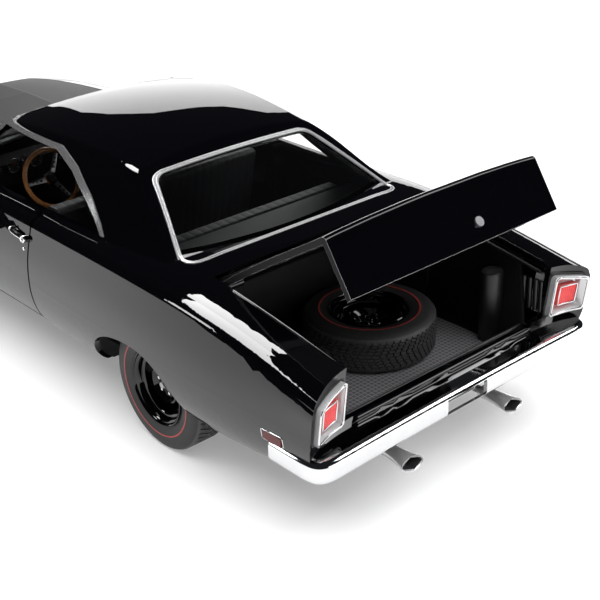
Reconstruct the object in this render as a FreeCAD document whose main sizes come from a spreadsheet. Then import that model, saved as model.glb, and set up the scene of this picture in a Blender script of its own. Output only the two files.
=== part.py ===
"""A 1:18 die-cast model of a late-sixties two-door hardtop muscle car, with its trunk lid standing open.

Frame: +X towards the nose, +Y to the car's left, +Z up. The origin is on the ground, under the middle of the
model's length. All sizes are millimetres of the model itself, not of the full-size car.
"""
import FreeCAD, Part
import math
import os
from functools import lru_cache
from types import SimpleNamespace

import Sketcher
from FreeCAD import Placement, Rotation, Vector

doc = FreeCAD.newDocument("MuscleCar")
sheet = doc.addObject("Spreadsheet::Sheet", "Sizes")

SIZES = {
    # Whole body
    "half_length": 141.0,
    "half_width": 53.5,
    "waist_z": 33.0,
    "shoulder_z": 53.0,
    "sill_z": 18.2,
    "sill_half": 47.4,
    "crown_rise": 3.2,
    "corner_round": 2.2,
    "wall": 1.6,
    "panel_gap": 0.7,
    "seat_gap": 0.15,
    "running_gap": 0.05,
    "overrun": 6.0,
    "nose_x": 139.6,
    "tail_x": -136.1,
    "tail_crease_z": 46.5,
    "tail_undercut": 1.9,
    "lid_bottom_z": 31.7,
    # Cabin
    "belt_z": 54.3,
    "rail_z": 70.0,
    "roof_z": 75.0,
    "cabin_half": 44.9,
    "windshield_base_x": 47.0,
    "header_x": 21.5,
    "backlight_base_x": -80.5,
    "backlight_top_x": -50.5,
    "window_front_x": 34.5,
    "window_rear_x": -46.8,
    "glass_thick": 0.8,
    "window_round": 4.5,
    "trim_width": 1.3,
    "trim_proud": 0.35,
    # Wheels
    "front_axle_x": 91.5,
    "rear_axle_x": -72.2,
    "tyre_radius": 18.4,
    "tyre_width": 11.8,
    "rim_radius": 10.6,
    "rim_width": 9.6,
    "rim_wall": 0.8,
    "hub_radius": 3.2,
    "stub_radius": 1.0,
    "front_track_half": 42.3,
    "rear_track_half": 42.0,
    # Doors
    "door_front_x": 55.4,
    "door_rear_x": -17.6,
    "door_bottom_z": 21.6,
    "door_inner_y": 43.4,
    "door_hinge_setback": 3.0,
    "door_hinge_inset": 1.5,
    "door_pin_radius": 0.45,
    "door_strap_height": 2.0,
    "door_strap_pitch": 8.0,
    "strap_thick": 1.0,
    # Lids
    "hood_hinge_x": 54.5,
    "hood_front_x": 130.8,
    "hood_rear_half": 38.4,
    "hood_front_half": 36.4,
    "scoop_front_x": 108.0,
    "scoop_rear_x": 62.0,
    "scoop_half": 14.0,
    "scoop_rise": 2.6,
    "lid_hinge_x": -92.3,
    "lid_half": 37.0,
    "lid_open_angle": 40.5,
    "lid_pin_radius": 0.6,
    "lid_pin_reach": 2.6,
    "roll_radius": 3.4,
    "boss_radius": 1.9,
    "knuckle_radius": 1.2,
    "knuckle_length": 5.0,
    "lock_radius": 1.3,
    # Front and rear fittings
    "grille_bottom_z": 31.0,
    "grille_top_z": 43.4,
    "grille_half": 45.0,
    "headlamp_radius": 4.1,
    "headlamp_outer_y": 39.4,
    "headlamp_inner_y": 29.4,
    "bezel_wall": 0.8,
    "lamp_inner_y": 38.5,
    "lamp_outer_y": 49.9,
    "lamp_bottom_z": 31.4,
    "lamp_top_z": 44.2,
    "lamp_slope": 2.6,
    "lamp_round": 1.2,
    "lamp_depth": 5.0,
    "lamp_proud": 1.6,
    "lamp_recess": 2.4,
    "lamp_rim": 0.7,
    "lens_width": 6.0,
    "lens_height": 6.0,
    "bumper_top_z": 28.0,
    "bumper_height": 6.4,
    "bumper_wall": 1.1,
    "rear_bumper_reach": 141.6,
    "front_bumper_reach": 143.0,
    "bumper_half": 51.7,
    "bumper_wrap": 9.0,
    "bumper_round": 2.0,
    "plate_half": 7.4,
    "plate_height": 4.2,
    "marker_length": 6.6,
    "marker_height": 2.3,
    "marker_rear_x": -125.7,
    "marker_front_x": 120.0,
    "marker_z": 29.2,
    "marker_proud": 0.3,
    # Underbody
    "pan_top_z": 19.8,
    "pan_thick": 1.4,
    "pan_half_length": 124.0,
    "well_radius": 22.5,
    "apron_y": 25.6,
    "apron_top_z": 47.0,
    "housing_y": 35.0,
    "housing_top_z": 42.0,
    "liner": 1.2,
    "axle_tube_radius": 1.6,
    "axle_radius": 0.9,
    "differential_radius": 4.2,
    "kick_half": 6.4,
    "spring_y": 27.0,
    "spring_half_length": 25.0,
    "spring_width": 2.6,
    "spring_thick": 1.2,
    "kingpin_y": 33.4,
    "kingpin_radius": 0.8,
    "kingpin_half": 4.2,
    "arm_thick": 1.4,
    "arm_width": 4.0,
    "crossmember_half": 24.0,
    "engine_length": 37.0,
    "engine_width": 26.0,
    "engine_height": 26.0,
    "pipe_y": 19.4,
    "pipe_z": 13.9,
    "pipe_radius": 1.1,
    "tip_half_width": 3.2,
    "tip_half_height": 2.1,
    "tip_wall": 0.45,
    "tip_length": 8.5,
    "tip_end_x": -143.0,
    "muffler_length": 26.0,
    "muffler_width": 11.0,
    "muffler_height": 4.4,
    # Trunk
    "trunk_front_x": -79.4,
    "trunk_rear_x": -126.0,
    "trunk_floor_z": 21.6,
    "trunk_wall_top_z": 47.0,
    "sill_ledge_z": 31.0,
    "spare_x": -99.6,
    "spare_y": -6.5,
    # Interior
    "floor_z": 21.4,
    "floor_half": 42.0,
    "firewall_x": 50.0,
    "tunnel_half": 6.5,
    "tunnel_height": 7.0,
    "cushion_z": 33.0,
    "seat_back_z": 51.0,
    "front_seat_x": 14.0,
    "front_seat_depth": 24.0,
    "rear_seat_x": -34.0,
    "rear_seat_depth": 22.0,
    "seat_back_thick": 6.0,
    "seat_back_lean": 5.0,
    "front_seat_half": 38.0,
    "rear_seat_half": 33.0,
    "shelf_z": 51.6,
    "dash_x": 39.0,
    "dash_bottom_z": 40.0,
    "dash_top_z": 52.0,
    "wheel_x": 22.0,
    "wheel_y": 18.4,
    "wheel_z": 46.4,
    "wheel_rake": 25.0,
    "wheel_rim_radius": 9.4,
    "wheel_grip_radius": 0.75,
    "wheel_hub_radius": 2.2,
    "column_radius": 1.5,
    "shaft_radius": 0.7,
    "handle_length": 9.0,
    "handle_height": 1.5,
    "handle_z": 46.6,
    "handle_x": -12.6,
    "handle_proud": 1.3,
    "mirror_x": 38.0,
    "mirror_y": 50.2,
    "mirror_radius": 2.9,
    "mirror_length": 5.6,
    "screw_radius": 1.25,
    "screw_boss_radius": 2.6,
    "screw_boss_height": 4.0,
    "screw_front_x": 62.0,
    "screw_rear_x": -112.0,
}
for row, (alias, value) in enumerate(SIZES.items(), start=1):
    sheet.set("A%d" % row, alias)
    sheet.set("B%d" % row, str(value))
    sheet.setAlias("B%d" % row, alias)
doc.recompute()
S = SimpleNamespace(**{alias: float(sheet.get(alias)) for alias in SIZES})

# Stations of the lower body from nose to tail, as shares: place along the half length, widest half-width,
# top corner of the widest half-width, its height of the shoulder height, rise of the middle of the top,
# height of the lower edge of the sill height.
BODY_SHARES = [
    (1.035, 0.900, 0.935, 0.815, 0.45, 1.10),
    (0.935, 0.948, 0.935, 0.868, 0.70, 1.02),
    (0.780, 0.982, 0.925, 0.920, 1.00, 1.00),
    (0.580, 0.990, 0.915, 0.958, 1.10, 1.00),
    (0.355, 0.983, 0.920, 0.977, 1.12, 1.00),
    (0.070, 0.974, 0.928, 0.984, 1.05, 1.00),
    (-0.180, 0.978, 0.932, 0.986, 1.00, 1.00),
    (-0.390, 0.993, 0.934, 0.992, 0.95, 0.99),
    (-0.570, 1.000, 0.936, 0.986, 0.92, 0.95),
    (-0.745, 0.990, 0.940, 0.947, 0.80, 0.93),
    (-0.885, 0.972, 0.958, 0.887, 0.85, 1.02),
    (-1.035, 0.960, 0.982, 0.812, 1.10, 1.20),
]
# Levels of the cabin, as shares of the height from belt to rail, and per level: front middle, front corner and
# its half-width, widest half-width, rear corner and its half-width, rear middle. Places are shares of the way
# from base to top of that window, and half-widths are shares of the cabin's.
CABIN_SHARES = [
    (-0.34, -0.38, -0.36, 1.035, 1.085, -0.34, 1.075, -0.34),
    (-0.15, -0.175, -0.165, 1.003, 1.035, -0.15, 0.980, -0.15),
    (0.015, 0.0, 0.0, 0.967, 1.000, 0.0, 0.913, 0.0),
    (0.49, 0.48, 0.48, 0.846, 0.909, 0.475, 0.811, 0.48),
    (1.0, 1.0, 1.0, 0.748, 0.791, 1.0, 0.682, 1.0),
    (1.51, 1.51, 1.53, 0.641, 0.659, 1.55, 0.548, 1.52),
]
CORNER_SHARE = 0.22
# The roof's profile along the middle: place of the half length, height of the roof's.
ROOF_SHARES = [
    (0.46, 0.780),
    (0.155, 0.958),
    (0.035, 0.991),
    (-0.085, 1.000),
    (-0.213, 0.989),
    (-0.319, 0.965),
    (-0.426, 0.928),
    (-0.70, 0.790),
]
ROOF_DROP_SHARE = 0.083
# Wheel arches, in shares of the tyre's radius from the axle: along, up.
REAR_ARCH_SHARES = [(1.24, -0.3), (1.05, 0.52), (0.26, 0.785), (-0.46, 0.66), (-0.90, 0.22), (-1.27, -0.3)]
FRONT_ARCH_SHARES = [(1.20, -0.3), (1.02, 0.50), (0.55, 0.84), (0.0, 0.93), (-0.58, 0.82), (-1.08, 0.42), (-1.24, -0.3)]
# The tail and the nose in plan: half-width share, distance share of the half length from the middle of the face.
TAIL_SHARES = [(0.0, 0.0), (0.45, 0.0), (0.70, 0.002), (0.86, 0.014), (0.96, 0.030), (1.15, 0.048)]
NOSE_SHARES = [(0.0, 0.0), (0.45, 0.003), (0.80, 0.012), (1.15, 0.030)]


# Curves and solids

def bezier(*points):
    curve = Part.BezierCurve()
    curve.setPoles([Vector(*point) for point in points])
    return curve.toShape()


def spline(points):
    curve = Part.BSplineCurve()
    curve.interpolate([Vector(*point) for point in points])
    return curve.toShape()


def line(start, end):
    return Part.LineSegment(Vector(*start), Vector(*end)).toShape()


def polygon(points):
    corners = [Vector(*point) for point in points]
    return Part.makePolygon(corners + corners[:1])


def prism(wire, direction):
    return Part.Face(wire).extrude(Vector(*direction))


def box(x, y, z):
    """A block between three pairs of coordinates."""
    return Part.makeBox(x[1] - x[0], y[1] - y[0], z[1] - z[0], Vector(x[0], y[0], z[0]))


def rod(radius, start, end):
    way = Vector(*end) - Vector(*start)
    return Part.makeCylinder(radius, way.Length, Vector(*start), way)


def mirrored(shape):
    return shape.mirror(Vector(0, 0, 0), Vector(0, 1, 0))


def pair(shape):
    return Part.makeCompound([shape, mirrored(shape)])


def ruled_loft(wires, ruled=False):
    return Part.makeLoft(wires, True, ruled, False)


# Body forms

def body_section(shares, inset, drop):
    """One closed section across the lower body, brought in by the inset and drawn straight down by the drop."""
    along, wide, corner, high, rise, low = shares
    x = along * S.half_length
    w = wide * S.half_width - inset
    cy = corner * wide * S.half_width - inset
    cz = high * S.shoulder_z - inset
    r = S.corner_round
    foot_y = S.sill_half * wide - inset
    foot_z = low * S.sill_z
    span = S.waist_z - foot_z
    side_low = [(foot_y, foot_z), (foot_y + 0.70 * (w - foot_y), foot_z + 0.16 * span),
                (w, foot_z + 0.60 * span), (w, S.waist_z)]
    upper = cz - S.waist_z
    side_high = [(w, S.waist_z), (w, S.waist_z + 0.45 * upper),
                 (cy + 0.80 * r, cz - 0.36 * upper), (cy + 0.30 * r, cz - r)]
    corner_top = [(cy + 0.30 * r, cz - r), (cy + 0.16 * r, cz - 0.36 * r),
                  (cy - 0.30 * r, cz), (cy - 1.30 * r, cz + 0.15 * r)]
    edge_y, edge_z = corner_top[-1]
    lift = 1.25 * (rise * S.crown_rise)
    top = [(edge_y, edge_z), (0.84 * edge_y, edge_z + lift), (-0.84 * edge_y, edge_z + lift), (-edge_y, edge_z)]
    left = [side_low, side_high, corner_top]
    edges = [bezier(*[(x, y, z) for y, z in poles]) for poles in left]
    edges.append(bezier(*[(x, y, z) for y, z in top]))
    edges += [bezier(*[(x, -y, z) for y, z in reversed(poles)]) for poles in reversed(left)]
    if drop:
        edges.append(line((x, -foot_y, foot_z), (x, -foot_y, foot_z - drop)))
        edges.insert(0, line((x, foot_y, foot_z - drop), (x, foot_y, foot_z)))
    edges.append(line((x, -foot_y, foot_z - drop), (x, foot_y, foot_z - drop)))
    return Part.Wire(edges)


def end_cutter(face_x, shares, tilt, sign):
    """Everything beyond the nose or tail face, which is curved in plan and leans as the tilt says."""
    half = [(wide * S.half_width, face_x + sign * -back * S.half_length) for wide, back in shares]
    points = [(x, -y) for y, x in reversed(half[1:])] + [(x, y) for y, x in half]
    far = face_x + sign * 4 * S.overrun
    low, high = -S.overrun, S.roof_z
    lean = [x + tilt * (low - S.tail_crease_z) for x, _ in points]
    curve = spline([(lean[i], points[i][1], low) for i in range(len(points))])
    first, last = curve.Vertexes[0].Point, curve.Vertexes[-1].Point
    wire = Part.Wire([curve, line(tuple(last), (far, last.y, low)), line((far, last.y, low), (far, first.y, low)),
                      line((far, first.y, low), tuple(first))])
    return prism(wire, (tilt * (high - low), 0, high - low))


TAIL_TILT = -S.tail_undercut / (S.tail_crease_z - S.lid_bottom_z)


def tail_cutter(inset=0.0):
    return end_cutter(S.tail_x + inset, [(w, -b) for w, b in TAIL_SHARES], TAIL_TILT, -1)


def nose_cutter(inset=0.0):
    return end_cutter(S.nose_x - inset, NOSE_SHARES, 0.0, 1)


@lru_cache(maxsize=None)
def lower_form(inset=0.0, drop=0.0):
    form = ruled_loft([body_section(shares, inset, drop) for shares in BODY_SHARES])
    return form.cut(nose_cutter(inset)).cut(tail_cutter(inset))


def cabin_outline(shares, inset):
    level, front, front_corner, front_y, side_y, rear_corner, rear_y, rear = shares
    z = S.belt_z + level * (S.rail_z - S.belt_z)
    front_run = S.header_x - S.windshield_base_x
    rear_run = S.backlight_top_x - S.backlight_base_x
    slope = 1.6 * inset
    xf = S.windshield_base_x + front * front_run - slope
    xfc = S.windshield_base_x + front_corner * front_run * 0.70 - CORNER_SHARE * S.cabin_half - slope
    xr = S.backlight_base_x + rear * rear_run + slope
    xrc = S.backlight_base_x + 0.166 * S.cabin_half + rear_corner * rear_run * 0.84 + slope
    yf, ys, yr = (share * S.cabin_half - inset for share in (front_y, side_y, rear_y))
    xm = 0.5 * (xfc + xrc)

    def bow(a, through, b):
        control = [2 * through[i] - (a[i] + b[i]) / 2 for i in range(3)]
        return bezier(a, control, b)

    corners = [(xfc, -yf, z), (xfc, yf, z), (xrc, yr, z), (xrc, -yr, z)]
    middles = [(xf, 0, z), (xm, ys, z), (xr, 0, z), (xm, -ys, z)]
    return Part.Wire([bow(corners[i], middles[i], corners[(i + 1) % 4]) for i in range(4)])


def roof_section(shares, inset):
    along, high = shares
    x = along * S.half_length
    z = high * S.roof_z - inset
    edge = z - ROOF_DROP_SHARE * S.roof_z
    foot = S.waist_z
    wide = S.half_width
    arc = Part.Arc(Vector(x, -wide, edge), Vector(x, 0, z), Vector(x, wide, edge)).toShape()
    return Part.Wire([arc, line((x, wide, edge), (x, wide, foot)), line((x, wide, foot), (x, -wide, foot)),
                      line((x, -wide, foot), (x, -wide, edge))])


ROOF_ROUND_SHARE = 0.04


@lru_cache(maxsize=None)
def cabin_form(inset=0.0):
    walls = ruled_loft([cabin_outline(shares, inset) for shares in CABIN_SHARES])
    crown = ruled_loft([roof_section(shares, inset) for shares in ROOF_SHARES])
    form = walls.common(crown)
    rail = [edge for edge in form.Edges if edge.BoundBox.ZMin > S.belt_z + 0.5 * (S.rail_z - S.belt_z)]
    return form.makeFillet(ROOF_ROUND_SHARE * S.roof_z - inset, rail)


LOWER = lower_form()
LOWER_INNER = lower_form(S.wall, S.overrun)
CABIN = cabin_form()
CABIN_INNER = cabin_form(S.wall)
OUTER = LOWER.fuse(CABIN)
INNER = LOWER_INNER.fuse(CABIN_INNER)


def skin_y(x, z, form=OUTER):
    """Half-width of the body's skin at a place along it and a height."""
    ray = line((x, 0, z), (x, S.half_width + S.overrun, z))
    return form.common(ray).BoundBox.YMax


def skin_z(x, y, form=OUTER):
    """Height of the body's skin over a point of the plan."""
    ray = line((x, y, S.waist_z), (x, y, S.roof_z + S.overrun))
    return form.common(ray).BoundBox.ZMax


def arch(axle_x, shares):
    """The prism of a wheel arch, out from beside the tyre's inner face."""
    points = [(axle_x + along * S.tyre_radius, S.tyre_radius + up * S.tyre_radius) for along, up in shares]
    inner = S.housing_y
    curve = spline([(x, inner, z) for x, z in points])
    first, last = curve.Vertexes[0].Point, curve.Vertexes[-1].Point
    wire = Part.Wire([curve, line(tuple(last), tuple(first))])
    return prism(wire, (0, S.half_width + S.overrun - inner, 0))


# Side windows: share of the way from the rear to the front corner, share of the way from belt to rail
WINDOW_SHARES = [(1.0, 0.0), (0.779, 0.99), (0.387, 0.97), (0.260, 0.76), (0.133, 0.42), (0.0, 0.0)]


def side_window(grow):
    run, high = S.window_front_x - S.window_rear_x, S.rail_z - S.belt_z
    points = [(S.window_rear_x + along * run, S.belt_z + up * high) for along, up in WINDOW_SHARES]
    middle = S.window_rear_x + 0.45 * run
    points = [(x + math.copysign(grow, x - middle), z + (grow if z > S.belt_z else 0)) for x, z in points]
    wire = polygon([(x, -S.half_width, z) for x, z in points])
    return prism(wire, (0, 2 * S.half_width, 0))


# Windshield and rear window: half-width share of the cabin's, share of the way from belt to rail
WINDSHIELD_SHARES = [(0.900, 0.05), (0.715, 0.93)]
BACKLIGHT_SHARES = [(0.862, 0.03), (0.610, 0.95)]


def end_window(shares, grow=0.0):
    """The opening of an end window: square to the glass at its sides and top, level at its foot."""
    (low_half, low), (high_half, high) = shares
    ahead = shares is WINDSHIELD_SHARES
    base_x, top_x = (S.windshield_base_x, S.header_x) if ahead else (S.backlight_base_x, S.backlight_top_x)
    run, rise = top_x - base_x, S.rail_z - S.belt_z
    length = math.hypot(run, rise)
    taper = (high_half - low_half) / (high - low)
    normal = Vector(math.copysign(rise, -run), 0, abs(run)) * (3 * S.overrun / length)

    def corner(level, side):
        half = (low_half + taper * (level - low)) * S.cabin_half + grow
        return (base_x + level * run - normal.x, side * half, S.belt_z + level * rise - normal.z)

    top, foot = high + grow / length, low - 1
    outline = polygon([corner(foot, -1), corner(foot, 1), corner(top, 1), corner(top, -1)])
    form = prism(outline, tuple(normal * 2))
    across = [edge for edge in form.Edges if abs(edge.Length - 2 * normal.Length) < S.running_gap]
    upper = sorted(across, key=lambda edge: edge.CenterOfMass.z)[-2:]
    form = form.makeFillet(S.window_round + grow, upper)
    low_z = S.belt_z + low * rise - grow
    far = S.half_length + S.overrun
    end = box((0, far) if ahead else (-far, 0), (-S.half_width, S.half_width), (low_z, 2 * S.roof_z))
    return form.common(end)


# Lid and hood outlines and hinges

LID_AXIS_Z = skin_z(S.lid_hinge_x, S.lid_half) - S.wall
HOOD_AXIS_Z = skin_z(S.hood_hinge_x, S.hood_rear_half) - S.wall
DOOR_AXIS_X = S.door_front_x - S.door_hinge_setback
DOOR_AXIS_Y = skin_y(DOOR_AXIS_X, S.waist_z) - S.door_hinge_inset


def lid_region(grow):
    """Where the trunk lid lies, or with its gap where the body is open for it: panel, then rolled edge."""
    half = S.lid_half + grow
    slab = box((-S.half_length - S.overrun, S.lid_hinge_x), (-half, half), (S.lid_bottom_z - grow, S.roof_z))
    roll = rod(S.roll_radius + grow, (S.lid_hinge_x, -half, LID_AXIS_Z), (S.lid_hinge_x, half, LID_AXIS_Z))
    return slab, roll


def hood_region(grow):
    rear, front = S.hood_rear_half + grow, S.hood_front_half + grow
    x0, x1, z0 = S.hood_hinge_x, S.hood_front_x + grow, S.apron_top_z - S.overrun
    outline = polygon([(x0, -rear, z0), (x1, -front, z0), (x1, front, z0), (x0, rear, z0)])
    slab = prism(outline, (0, 0, S.roof_z - z0))
    roll = rod(S.roll_radius + grow, (x0, -rear, HOOD_AXIS_Z), (x0, rear, HOOD_AXIS_Z))
    return slab, roll


def rolled_edge(roll, half, x, z):
    """The upper half of a lid's rolled edge, with the knuckles and pins that it turns on."""
    edge = roll.common(OUTER).common(box((x - S.roof_z, x + S.roof_z), (-half, half), (z, S.roof_z)))
    pieces = [edge]
    for side in (-1, 1):
        inner = side * (half - S.knuckle_length)
        knuckle_rod = rod(S.knuckle_radius, (x, inner, z), (x, side * half, z)).common(OUTER)
        pieces.append(knuckle_rod.fuse(rod(S.lid_pin_radius, (x, inner, z), (x, side * (half + S.lid_pin_reach), z))))
    return pieces


def door_region(grow):
    return box((S.door_rear_x - grow, S.door_front_x + grow), (S.door_inner_y - grow, S.half_width + S.overrun),
               (S.door_bottom_z - grow, S.belt_z))


# Objects of the document

def feature(name, shape):
    """A sub-part whose shape is set here, under its own label."""
    part = doc.addObject("Part::Feature", name)
    part.Label = name
    part.Shape = shape
    return part


def origin_plane(body, role):
    return [item for item in body.Origin.OriginFeatures if item.Role == role][0]


def profile_sketch(body, name, role, points):
    """A closed outline whose corners are bound to the sheet, each as a pair of expressions."""
    sketch = body.newObject("Sketcher::SketchObject", name)
    sketch.AttachmentSupport = [(origin_plane(body, role), "")]
    sketch.MapMode = "FlatFace"
    places = [(sheet.evalExpression(across), sheet.evalExpression(along)) for across, along in points]
    count = len(points)
    for i, (across, along) in enumerate(places):
        nxt = places[(i + 1) % count]
        sketch.addGeometry(Part.LineSegment(Vector(across, along, 0), Vector(nxt[0], nxt[1], 0)), False)
    for i in range(count):
        sketch.addConstraint(Sketcher.Constraint("Coincident", i, 2, (i + 1) % count, 1))
    for i, (place, words) in enumerate(zip(places, points)):
        for kind, value, expression in (("DistanceX", place[0], words[0]), ("DistanceY", place[1], words[1])):
            index = sketch.addConstraint(Sketcher.Constraint(kind, -1, 1, i, 1, value))
            sketch.setExpression("Constraints[%d]" % index, expression)
    return sketch


def turned_body(name, points, place, turn=0.0):
    """A body turned about its own Y axis from an outline bound to the sheet, then put in its place."""
    body = doc.addObject("PartDesign::Body", name)
    body.Label = name
    sketch = profile_sketch(body, name + "_profile", "XY_Plane", points)
    turned = body.newObject("PartDesign::Revolution", name + "_turn")
    turned.Profile = sketch
    turned.ReferenceAxis = (sketch, ["V_Axis"])
    turned.Angle = 360
    body.Tip = turned
    body.Placement = Placement(Vector(0, 0, 0), Rotation(Vector(0, 0, 1), turn))
    for axis, expression in zip("xyz", place):
        body.setExpression("Placement.Base." + axis, expression)
    return body


# Body shell

TRUNK_HALF = S.housing_y - S.liner - S.seat_gap
# The smallest solid that a cut may leave, as a share of the largest
DUST_SHARE = 0.02


def whole_shell():
    shell = OUTER.cut(INNER)
    windows = [side_window(0), end_window(WINDSHIELD_SHARES), end_window(BACKLIGHT_SHARES)]
    openings = windows + [door_region(S.panel_gap), mirrored(door_region(S.panel_gap))]
    for axle_x, shares in ((S.rear_axle_x, REAR_ARCH_SHARES), (S.front_axle_x, FRONT_ARCH_SHARES)):
        openings += [arch(axle_x, shares), mirrored(arch(axle_x, shares))]
    openings += list(lid_region(S.panel_gap)) + list(hood_region(S.panel_gap))
    openings.append(grille_box(0))
    lamp = lamp_block(S.seat_gap)
    openings += [lamp, mirrored(lamp)]
    for marker in marker_blocks(S.seat_gap):
        openings += [marker, mirrored(marker)]
    for opening in openings:
        shell = shell.cut(opening)
    ledge = OUTER.common(box((S.tail_x - S.overrun, S.trunk_rear_x), (-TRUNK_HALF, TRUNK_HALF),
                             (S.sill_ledge_z - S.wall, S.sill_ledge_z)))
    shell = shell.fuse([ledge] + [hinge_boss(*boss) for boss in boss_places()])
    for y, x, z in boss_places():
        side = math.copysign(1, y)
        bore = rod(S.lid_pin_radius + S.running_gap, (x, y - side * S.overrun, z), (x, y + side * S.overrun, z))
        shell = shell.cut(bore)
    return shell


def body_panels():
    """The shell cut at the lines where a car's body panels are joined, from the top down and the nose back."""
    far, side, top = S.half_length + S.overrun, S.half_width + S.overrun, S.roof_z + S.overrun
    boss = 0.5 * S.boss_radius + S.lid_pin_reach + S.panel_gap
    middle = 0.5 * S.panel_gap
    post_x, quarter_x = S.door_front_x + middle, S.door_rear_x - middle
    cowl = box((S.window_rear_x, S.hood_hinge_x + S.boss_radius + S.seat_gap),
               (-S.hood_rear_half - boss, S.hood_rear_half + boss), (S.tail_crease_z, S.belt_z))
    deck = box((S.lid_hinge_x - S.boss_radius - S.seat_gap, S.window_rear_x),
               (-S.lid_half - boss, S.lid_half + boss), (S.tail_crease_z, S.belt_z))
    rooms = [
        ("roof_shell", box((-far, far), (-side, side), (S.belt_z, top))),
        ("cowl_and_rear_deck", cowl.fuse(deck)),
        ("nose_panel", box((S.hood_front_x + middle, far), (-side, side), (0, top))),
        ("front_fenders", box((post_x, far), (-side, side), (0, top))),
        ("rocker_sills", box((quarter_x, far), (-side, side), (0, top))),
        ("tail_panel", box((-far, S.trunk_rear_x + S.wall), (-TRUNK_HALF, TRUNK_HALF), (0, S.lid_bottom_z))),
        ("rear_quarters", box((-far, far), (-side, side), (0, top))),
    ]
    shell = whole_shell()
    taken, panels = [], {}
    for name, room in rooms:
        piece = shell.common(room.cut(taken) if taken else room)
        taken.append(room)
        largest = max(solid.Volume for solid in piece.Solids)
        panels[name] = Part.makeCompound([solid for solid in piece.Solids if solid.Volume > DUST_SHARE * largest])
    return panels



def boss_places():
    """Where the hood's and the lid's pins run: across, along and up."""
    places = []
    for half, x, z in ((S.lid_half, S.lid_hinge_x, LID_AXIS_Z), (S.hood_rear_half, S.hood_hinge_x, HOOD_AXIS_Z)):
        middle = half + S.panel_gap + 0.5 * S.lid_pin_reach
        places += [(middle, x, z), (-middle, x, z)]
    return places


def hinge_boss(y, x, z):
    """A boss under the skin beside a lid, which carries one of its pins."""
    half, reach = 0.5 * S.lid_pin_reach, S.boss_radius
    return box((x - reach, x + reach), (y - half, y + half), (z - reach, z + reach)).common(OUTER)


def grille_box(shrink):
    half = S.grille_half - shrink
    return box((S.nose_x - 3 * S.overrun, S.nose_x + S.overrun), (-half, half),
               (S.grille_bottom_z + shrink, S.grille_top_z - shrink))


def lamp_block(grow):
    """The block of the left tail lamp's outline, whose top slopes with the quarter panel, grown all round."""
    inner, outer = S.lamp_inner_y - grow, S.lamp_outer_y + grow
    low, high = S.lamp_bottom_z - grow, S.lamp_top_z + grow
    x0, x1 = S.tail_x - 2 * S.overrun, S.tail_x + S.overrun
    outline = polygon([(x0, inner, low), (x0, outer, low), (x0, outer, high - S.lamp_slope), (x0, inner, high)])
    block = prism(outline, (x1 - x0, 0, 0))
    along = [edge for edge in block.Edges if edge.BoundBox.XLength > S.overrun]
    return block.makeFillet(S.lamp_round + grow, along)


def marker_blocks(grow):
    """The side marker lamps of the left side, as plain blocks through the skin."""
    blocks = []
    for x in (S.marker_rear_x, S.marker_front_x):
        half, tall = 0.5 * S.marker_length + grow, 0.5 * S.marker_height + grow
        y = skin_y(x, S.marker_z)
        blocks.append(box((x - half, x + half), (y - S.wall - grow, y + S.marker_proud + grow),
                          (S.marker_z - tall, S.marker_z + tall)))
    return blocks


# Glass and bright trim

def pane(shares):
    layer = cabin_form(S.trim_proud).cut(cabin_form(S.trim_proud + S.glass_thick))
    sheet_of_glass = layer.common(end_window(shares, -S.seat_gap))
    return max(sheet_of_glass.Solids, key=lambda solid: solid.Volume)


def window_frame(shares):
    """The bright moulding around an end window, seated on the skin beside the opening."""
    layer = cabin_form(-S.trim_proud).cut(CABIN)
    ring = end_window(shares, S.trim_width).cut(end_window(shares))
    pieces = layer.common(ring).cut(LOWER).cut(side_window(S.trim_width + S.seat_gap))
    return max(pieces.Solids, key=lambda solid: solid.Volume)


def side_frames():
    layer = cabin_form(-S.trim_proud).cut(CABIN).cut(LOWER)
    ring = side_window(S.trim_width).cut(side_window(0))
    above = box((-S.half_length, S.half_length), (0, S.half_width), (S.belt_z, S.roof_z))
    strip = layer.common(ring).common(above)
    return pair(max(strip.Solids, key=lambda solid: solid.Volume))


# Bumpers, grille and lamps

def bumper(sign, face, reach, height_z):
    """A bumper wrapped round one end, hollow from below, seated on the body."""
    half = S.bumper_half
    corner = 0.86 * half

    def plan(shrink):
        xs, ys = reach - shrink, half - shrink
        root = reach - S.bumper_wrap
        start, end = (sign * root, ys), (sign * root, -ys)
        inner = sign * (abs(face) - 2 * S.overrun)
        side = bezier((start[0], ys, 0), (sign * (root + 0.62 * S.bumper_wrap), ys, 0),
                      (sign * xs, ys, 0), (sign * xs, corner - shrink, 0))
        middle = bezier((sign * xs, corner - shrink, 0), (sign * (xs - 0.4 * S.bumper_round), 0.3 * half, 0),
                        (sign * (xs - 0.4 * S.bumper_round), -0.3 * half, 0), (sign * xs, shrink - corner, 0))
        other = bezier((sign * xs, shrink - corner, 0), (sign * xs, -ys, 0),
                       (sign * (root + 0.62 * S.bumper_wrap), -ys, 0), (end[0], -ys, 0))
        closing = [line((end[0], -ys, 0), (inner, -ys, 0)), line((inner, -ys, 0), (inner, ys, 0)),
                   line((inner, ys, 0), (start[0], ys, 0))]
        return Part.Wire([side, middle, other] + closing)

    outer = prism(plan(0.0), (0, 0, S.bumper_height))
    rim = [edge for edge in outer.Edges
           if abs(edge.BoundBox.ZMax - edge.BoundBox.ZMin) < S.seat_gap
           and abs(edge.CenterOfMass.x) > reach - S.bumper_wrap]
    outer = outer.makeFillet(S.bumper_round, rim)
    hollow = prism(plan(S.bumper_wall), (0, 0, S.bumper_height - S.bumper_wall))
    blade = outer.cut(hollow)
    blade.translate(Vector(0, 0, height_z - S.bumper_height))
    hull = lower_form(0.0, S.overrun)
    block = box((0, 2 * S.half_length) if sign > 0 else (-2 * S.half_length, 0),
                (-S.half_width - S.overrun, S.half_width + S.overrun), (0, S.roof_z))
    blade = blade.cut(hull).common(block)
    return max(blade.Solids, key=lambda solid: solid.Volume)


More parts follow.
